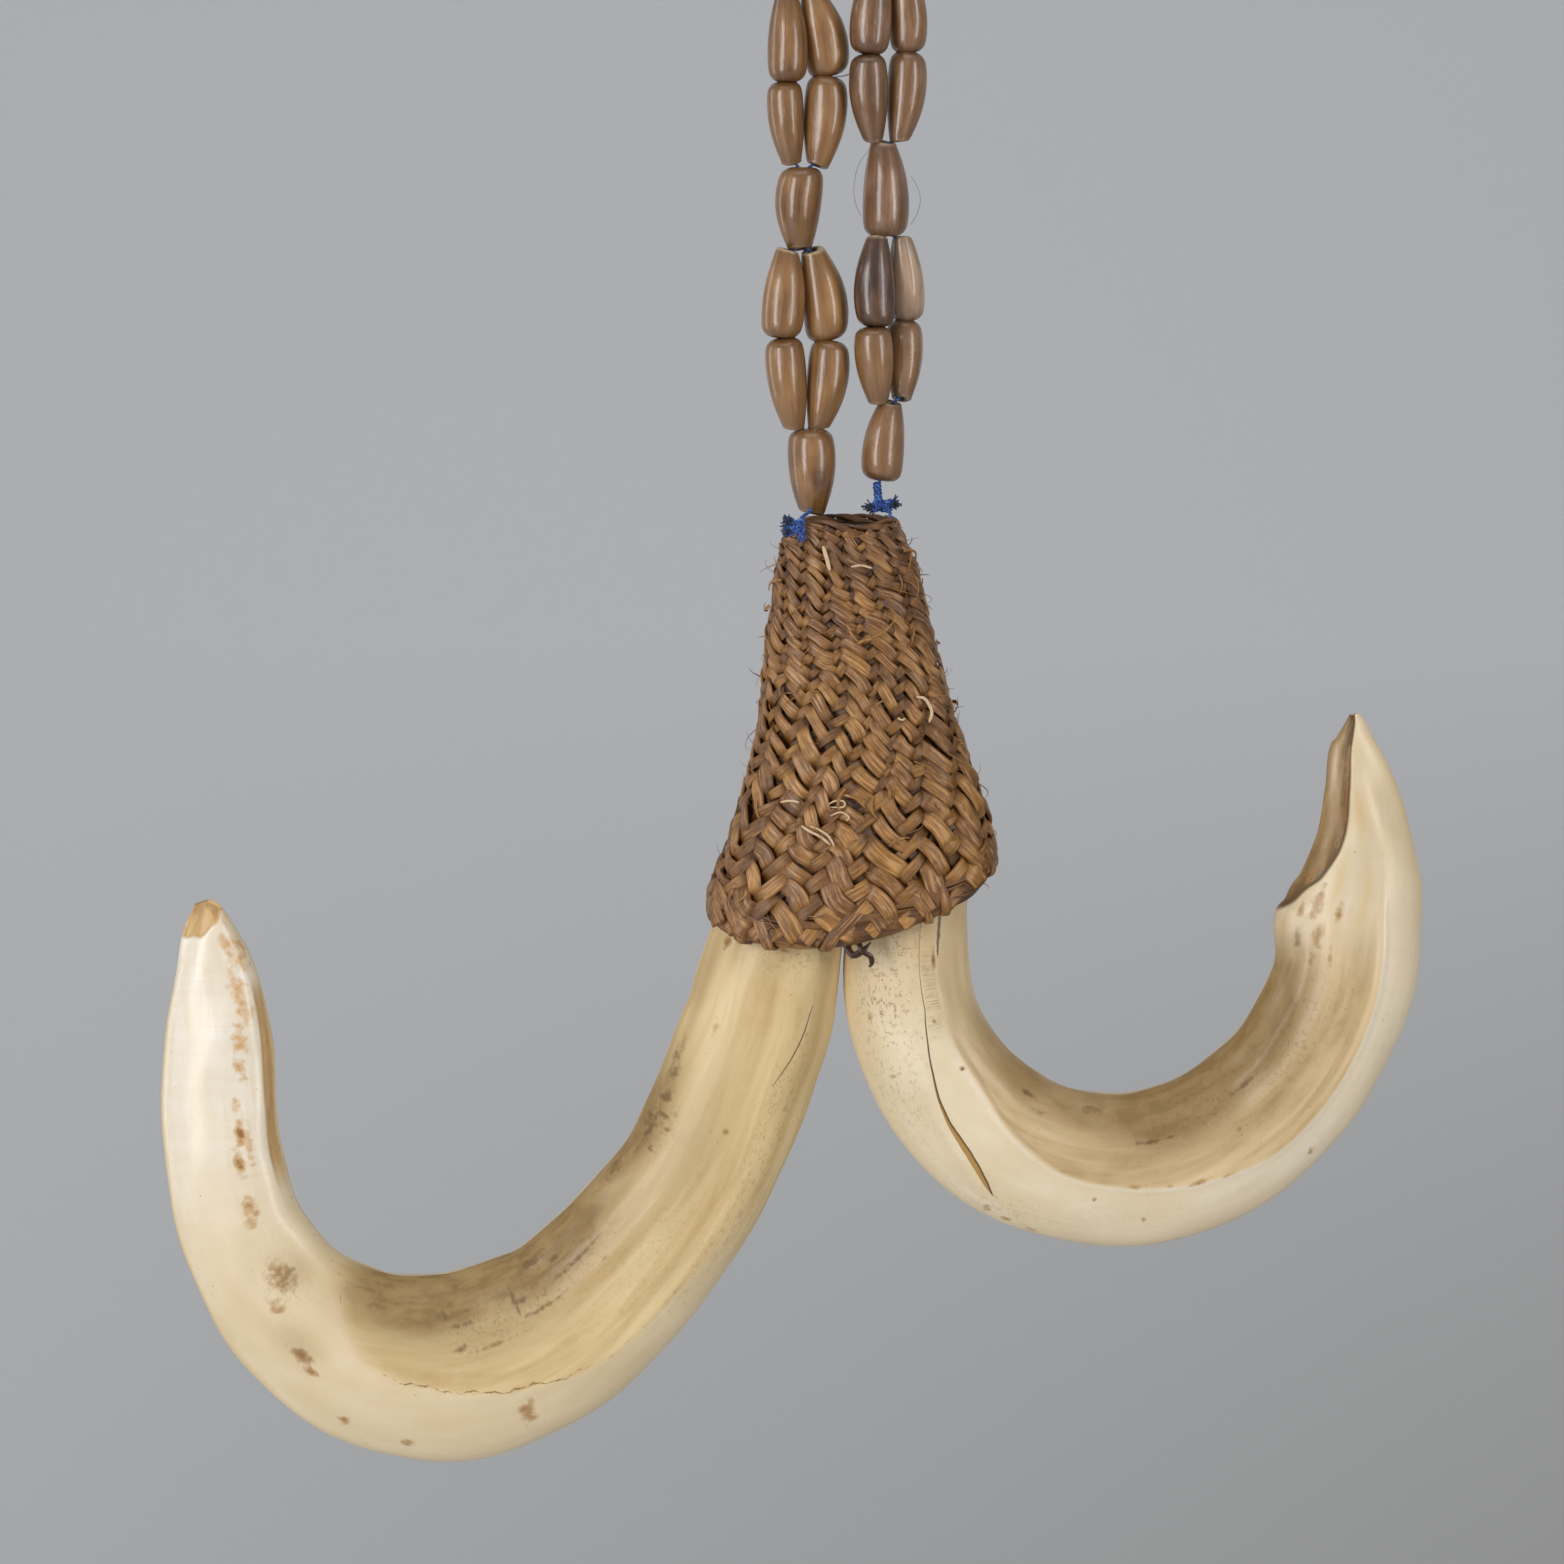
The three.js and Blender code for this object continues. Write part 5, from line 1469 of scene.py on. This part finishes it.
def tuft(start, direction, reach, count, seed, spread=0.45, shades=(0.2, 0.9)):
    """The opened end of a cut thread."""
    r = np.random.default_rng(seed)
    fibres = []
    t = np.linspace(0, 1, 8)[:, None]
    for _ in range(count):
        way = unit(np.asarray(direction, float) + r.normal(0, spread, 3))
        droop = r.normal(0, 0.25, 3)
        path = np.asarray(start) + way * reach * r.uniform(0.6, 1.1) * t + droop * reach * t ** 2
        facing = np.broadcast_to(unit(np.cross(way, (0.2, 1, 0.1))), path.shape)
        fibre = sweep(path, facing, round_section(4, 0.1))
        fibres.append((fibre, {"shade": r.uniform(*shades) + 0 * t[:, 0]}))
    return fibres


def strand(rows, lean_x, tail):
    """A strand's two threads through the seeds, and one on from the last seed to the knot."""
    tail = [np.array(point, float) for point in tail]
    start = TOP_KNOT + (lean_x, 0, -TOP_KNOT_RADIUS - 0.7)
    parts = []
    for letter in "ab":
        parts += plied(strand_way(rows, letter, start) + tail[:1], THREAD_RADIUS, THREAD_PITCH)
    return parts + plied(tail, THREAD_RADIUS, THREAD_PITCH)


# %% Strands, knots and tufts
left_thread = strand(LEFT_BEADS, -0.9, LEFT_TAIL)
left_thread += knot_coil(LEFT_KNOT + (0.5, 0, 0), (0.95, 0.8, 1.15), 3)
left_thread += knot_coil(LEFT_KNOT + (-0.5, 0, 0.2), (1.0, 0.8, 1.25), 4, 0.38)
left_thread += tuft(LEFT_KNOT + (-0.5, -0.3, 0.3), (-1, -0.1, 0.7), 1.25, 60, 5, 0.4, SHADED_TUFT_ENDS)
left_thread += tuft(LEFT_KNOT + (-0.6, -0.3, -0.3), (-1, -0.1, -0.5), 1.15, 60, 6, 0.4, SHADED_TUFT_ENDS)
left_thread += tuft(LEFT_KNOT + (0.6, -0.2, -0.6), (0.35, -0.1, -1), 1.3, 16, 7, 0.2, (0.4, 0.9))

right_thread = strand(RIGHT_BEADS, 0.9, RIGHT_TAIL)
coil_turn = np.linspace(0, 11 * math.pi, 130)
coil_drop = np.linspace(1.4, -1.3, 130)
coil_way = np.stack([0.36 * np.cos(coil_turn) - 0.1 * coil_drop, 0.36 * np.sin(coil_turn), coil_drop], 1)
right_thread += plied(RIGHT_UPPER_KNOT + coil_way, 0.3, 1.1)
right_thread += knot_coil(RIGHT_LOWER_KNOT + (-0.5, 0, 0), (1.15, 0.9, 0.85), 14, 0.38)
right_thread += knot_coil(RIGHT_LOWER_KNOT + (0.7, 0, 0.1), (1.0, 0.9, 0.8), 15, 0.36)
right_thread += tuft(RIGHT_LOWER_KNOT + (1.1, -0.3, 0.2), (1, -0.1, 0.1), 1.2, 60, 16, 0.4, SHADED_TUFT_ENDS)
right_thread += tuft(RIGHT_LOWER_KNOT + (-1.2, -0.3, 0), (-1, -0.1, -0.25), 1.1, 60, 17, 0.4, SHADED_TUFT_ENDS)

loop_turn = np.linspace(-math.pi / 2, 1.5 * math.pi, 90)
loop_height = TOP_KNOT[2] + (LOOP_RADIUS - TOP_KNOT[2]) * (1 + np.sin(loop_turn)) / 2
loop_x = TOP_KNOT[0] * (1 - np.linspace(0, 1, 90)) + LOOP_HALF_WIDTH * np.cos(loop_turn)
loop_parts = plied(np.stack([loop_x, 0 * loop_turn, loop_height], 1), LOOP_RADIUS, 2.2, 3)
loop_parts += knot_coil(TOP_KNOT + (0, 0, 0.2), (1.25, 1.1, 1.25), 23, 0.42)
loop_parts += knot_coil(TOP_KNOT + (0, 0, -0.2), (1.15, 1.1, 1.3), 24, 0.42)
loop_parts += tuft(TOP_KNOT + (0.9, 0, -0.8), (0.9, -0.2, -0.8), 1.6, 30, 25)
print(len(left_thread) + len(right_thread) + len(loop_parts), "plies and tuft fibres")

# %% [markdown]
# ## Blue thread and fine hairs
# The twisted thread is a deep clear blue with a slight fuzz, and looks synthetic. Its cut ends
# are painted nearly black, as painted shade on the sides of the knots. Three very fine hairs have
# caught on the seeds and stand off in open curves.


# %% Thread finish and hairs
def thread_finish():
    """Twisted synthetic thread: soft highlights, and a faint sheen from its fuzz."""
    material, surface, node = new_finish("blue_twisted_thread")
    blue = node("ValToRGB", (node("Attribute", out="Fac", attribute_name="shade"),))
    set_stops(blue, ((0.0, "#101a38"), (0.5, "#27509f"), (1.0, "#5b8ad6")))
    material.node_tree.links.new(blue, surface.inputs["Base Color"])
    surface.inputs["Roughness"].default_value = 0.55
    surface.inputs["Sheen Weight"].default_value = 0.2
    return material


# The middle line of each hair, in millimetres, and its radius.
HAIRS = (
    (((3.1, -1.5, -53.6), (1.5, -2.3, -56.0), (0.9, -2.8, -59.2), (1.2, -2.6, -61.4),
      (1.9, -2.2, -63.0)), 0.035),
    (((9.0, -1.5, -57.4), (9.9, -2.2, -59.0), (10.3, -2.4, -60.8), (9.9, -2.2, -62.6),
      (9.0, -1.5, -64.2)), 0.035),
    (((-1.7, -1.8, -43.4), (-0.8, -1.6, -43.4), (0.2, -1.0, -43.1)), 0.08),
)


def hair(points, radius):
    way = spline(points, 40)
    facing = np.broadcast_to((0.0, -1, 0.0), way.shape)
    return sweep(way, facing, round_section(4, radius)), {"shade": np.ones(len(way))}


hairs = join("fine_hairs", [hair(*line) for line in HAIRS])
dress(hairs, "blue_thread", plain_finish("fine_grey_hair", "#6f6c68", 0.5))
blue_thread = thread_finish()
dress(join("left_thread", left_thread), "blue_thread", blue_thread, "thread_left")
dress(join("right_thread", right_thread), "blue_thread", blue_thread, "thread_right")
dress(join("hanging_loop_cord", loop_parts), "blue_thread", blue_thread, "hanging_loop")

# %% [markdown]
# ## Studio
# A pale sheet curves from the floor up behind the ornament. Two tall soft boxes stand in front,
# left and right: each shiny seed shows them as two upright streaks.

# %% Backdrop
FLOOR_Z = -0.62
WALL_Y = 1.8
SWEEP_RADIUS = 0.9
SWEEP_STEPS = 24
STAGE_HALF_WIDTH = 9.0
STAGE_FRONT = -3.0
WALL_TOP = 2.6


def make_backdrop():
    """A sheet of paper from the floor up the wall, with painted shade low down on the right."""
    quarter = np.linspace(-math.pi / 2, 0, SWEEP_STEPS + 1)
    curve_y = WALL_Y - SWEEP_RADIUS + SWEEP_RADIUS * np.cos(quarter)
    curve_z = FLOOR_Z + SWEEP_RADIUS + SWEEP_RADIUS * np.sin(quarter)
    profile = [(STAGE_FRONT, FLOOR_Z), *zip(curve_y, curve_z), (WALL_Y, WALL_TOP)]
    points = [(x, y, z) for x in (-STAGE_HALF_WIDTH, STAGE_HALF_WIDTH) for y, z in profile]
    n = len(profile)
    faces = [(i, n + i, n + i + 1, i + 1) for i in range(n - 1)]
    sheet = smooth_mesh("backdrop", np.array(points) / MM, faces)
    material, surface, node = new_finish("pale_paper")
    place = node("SeparateXYZ", (node("NewGeometry"),)).node
    # Painted shade: the paper is darkened low down and towards the right, where the light falls off.
    low = node("MapRange", (place.outputs["Z"], -0.25, -0.62))
    right = node("MapRange", (place.outputs["X"], -0.35, 0.4, 0.2, 1.0))
    shaded = node("Math", (low, right), operation="MULTIPLY")
    tint = coats(node, "#e1e2e4", (shaded, "#b3b2af"))
    material.node_tree.links.new(tint, surface.inputs["Base Color"])
    surface.inputs["Roughness"].default_value = 0.9
    sheet.data.materials.append(material)
    sheet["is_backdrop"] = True
    return sheet


make_backdrop()
print("backdrop", 2 * STAGE_HALF_WIDTH, "m wide")


# %% Lamps
def soft_box(name, azimuth, height, distance, size, power):
    """A soft box that faces the ornament, at an angle to the right of the camera."""
    data = bpy.data.lights.new(name, "AREA")
    data.shape = "RECTANGLE"
    data.size, data.size_y = size
    data.energy = power
    box = bpy.data.objects.new(name, data)
    bpy.context.scene.collection.objects.link(box)
    angle = math.radians(azimuth)
    box.location = LOOK_AT + Vector((math.sin(angle) * distance, -math.cos(angle) * distance, height))
    box.rotation_euler = (LOOK_AT - box.location).to_track_quat("-Z", "Y").to_euler()
    return box


soft_box("left_box", -38, 0.2, 1.3, (0.4, 1.1), 9.0)
soft_box("right_box", 48, 0.2, 1.3, (0.28, 1.0), 5.6)
soft_box("side_box", -98, 0.1, 1.2, (0.3, 1.2), 2.6)
soft_box("top_box", 0, 1.3, 0.5, (1.2, 0.8), 3)
world = bpy.data.worlds.new("room")
bpy.context.scene.world = world
world.use_nodes = True
world.node_tree.nodes["Background"].inputs["Color"].default_value = linear("#e3e5e8")
world.node_tree.nodes["Background"].inputs["Strength"].default_value = 0.44
bpy.context.scene.view_settings.view_transform = "Standard"
print("four soft boxes and the room's own light")

# %% [markdown]
# ## Measure and finish
# The dressed model is measured against the frame. The two boxes should agree to within a
# fraction of a millimetre, because every piece was made in the frame's own place.

# %% Measure and finish
visual_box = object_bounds()
past = np.abs(np.array(visual_box) - np.array(cad_box)).max() / MM
print("the two boxes differ by", round(float(past), 2), "mm at most")
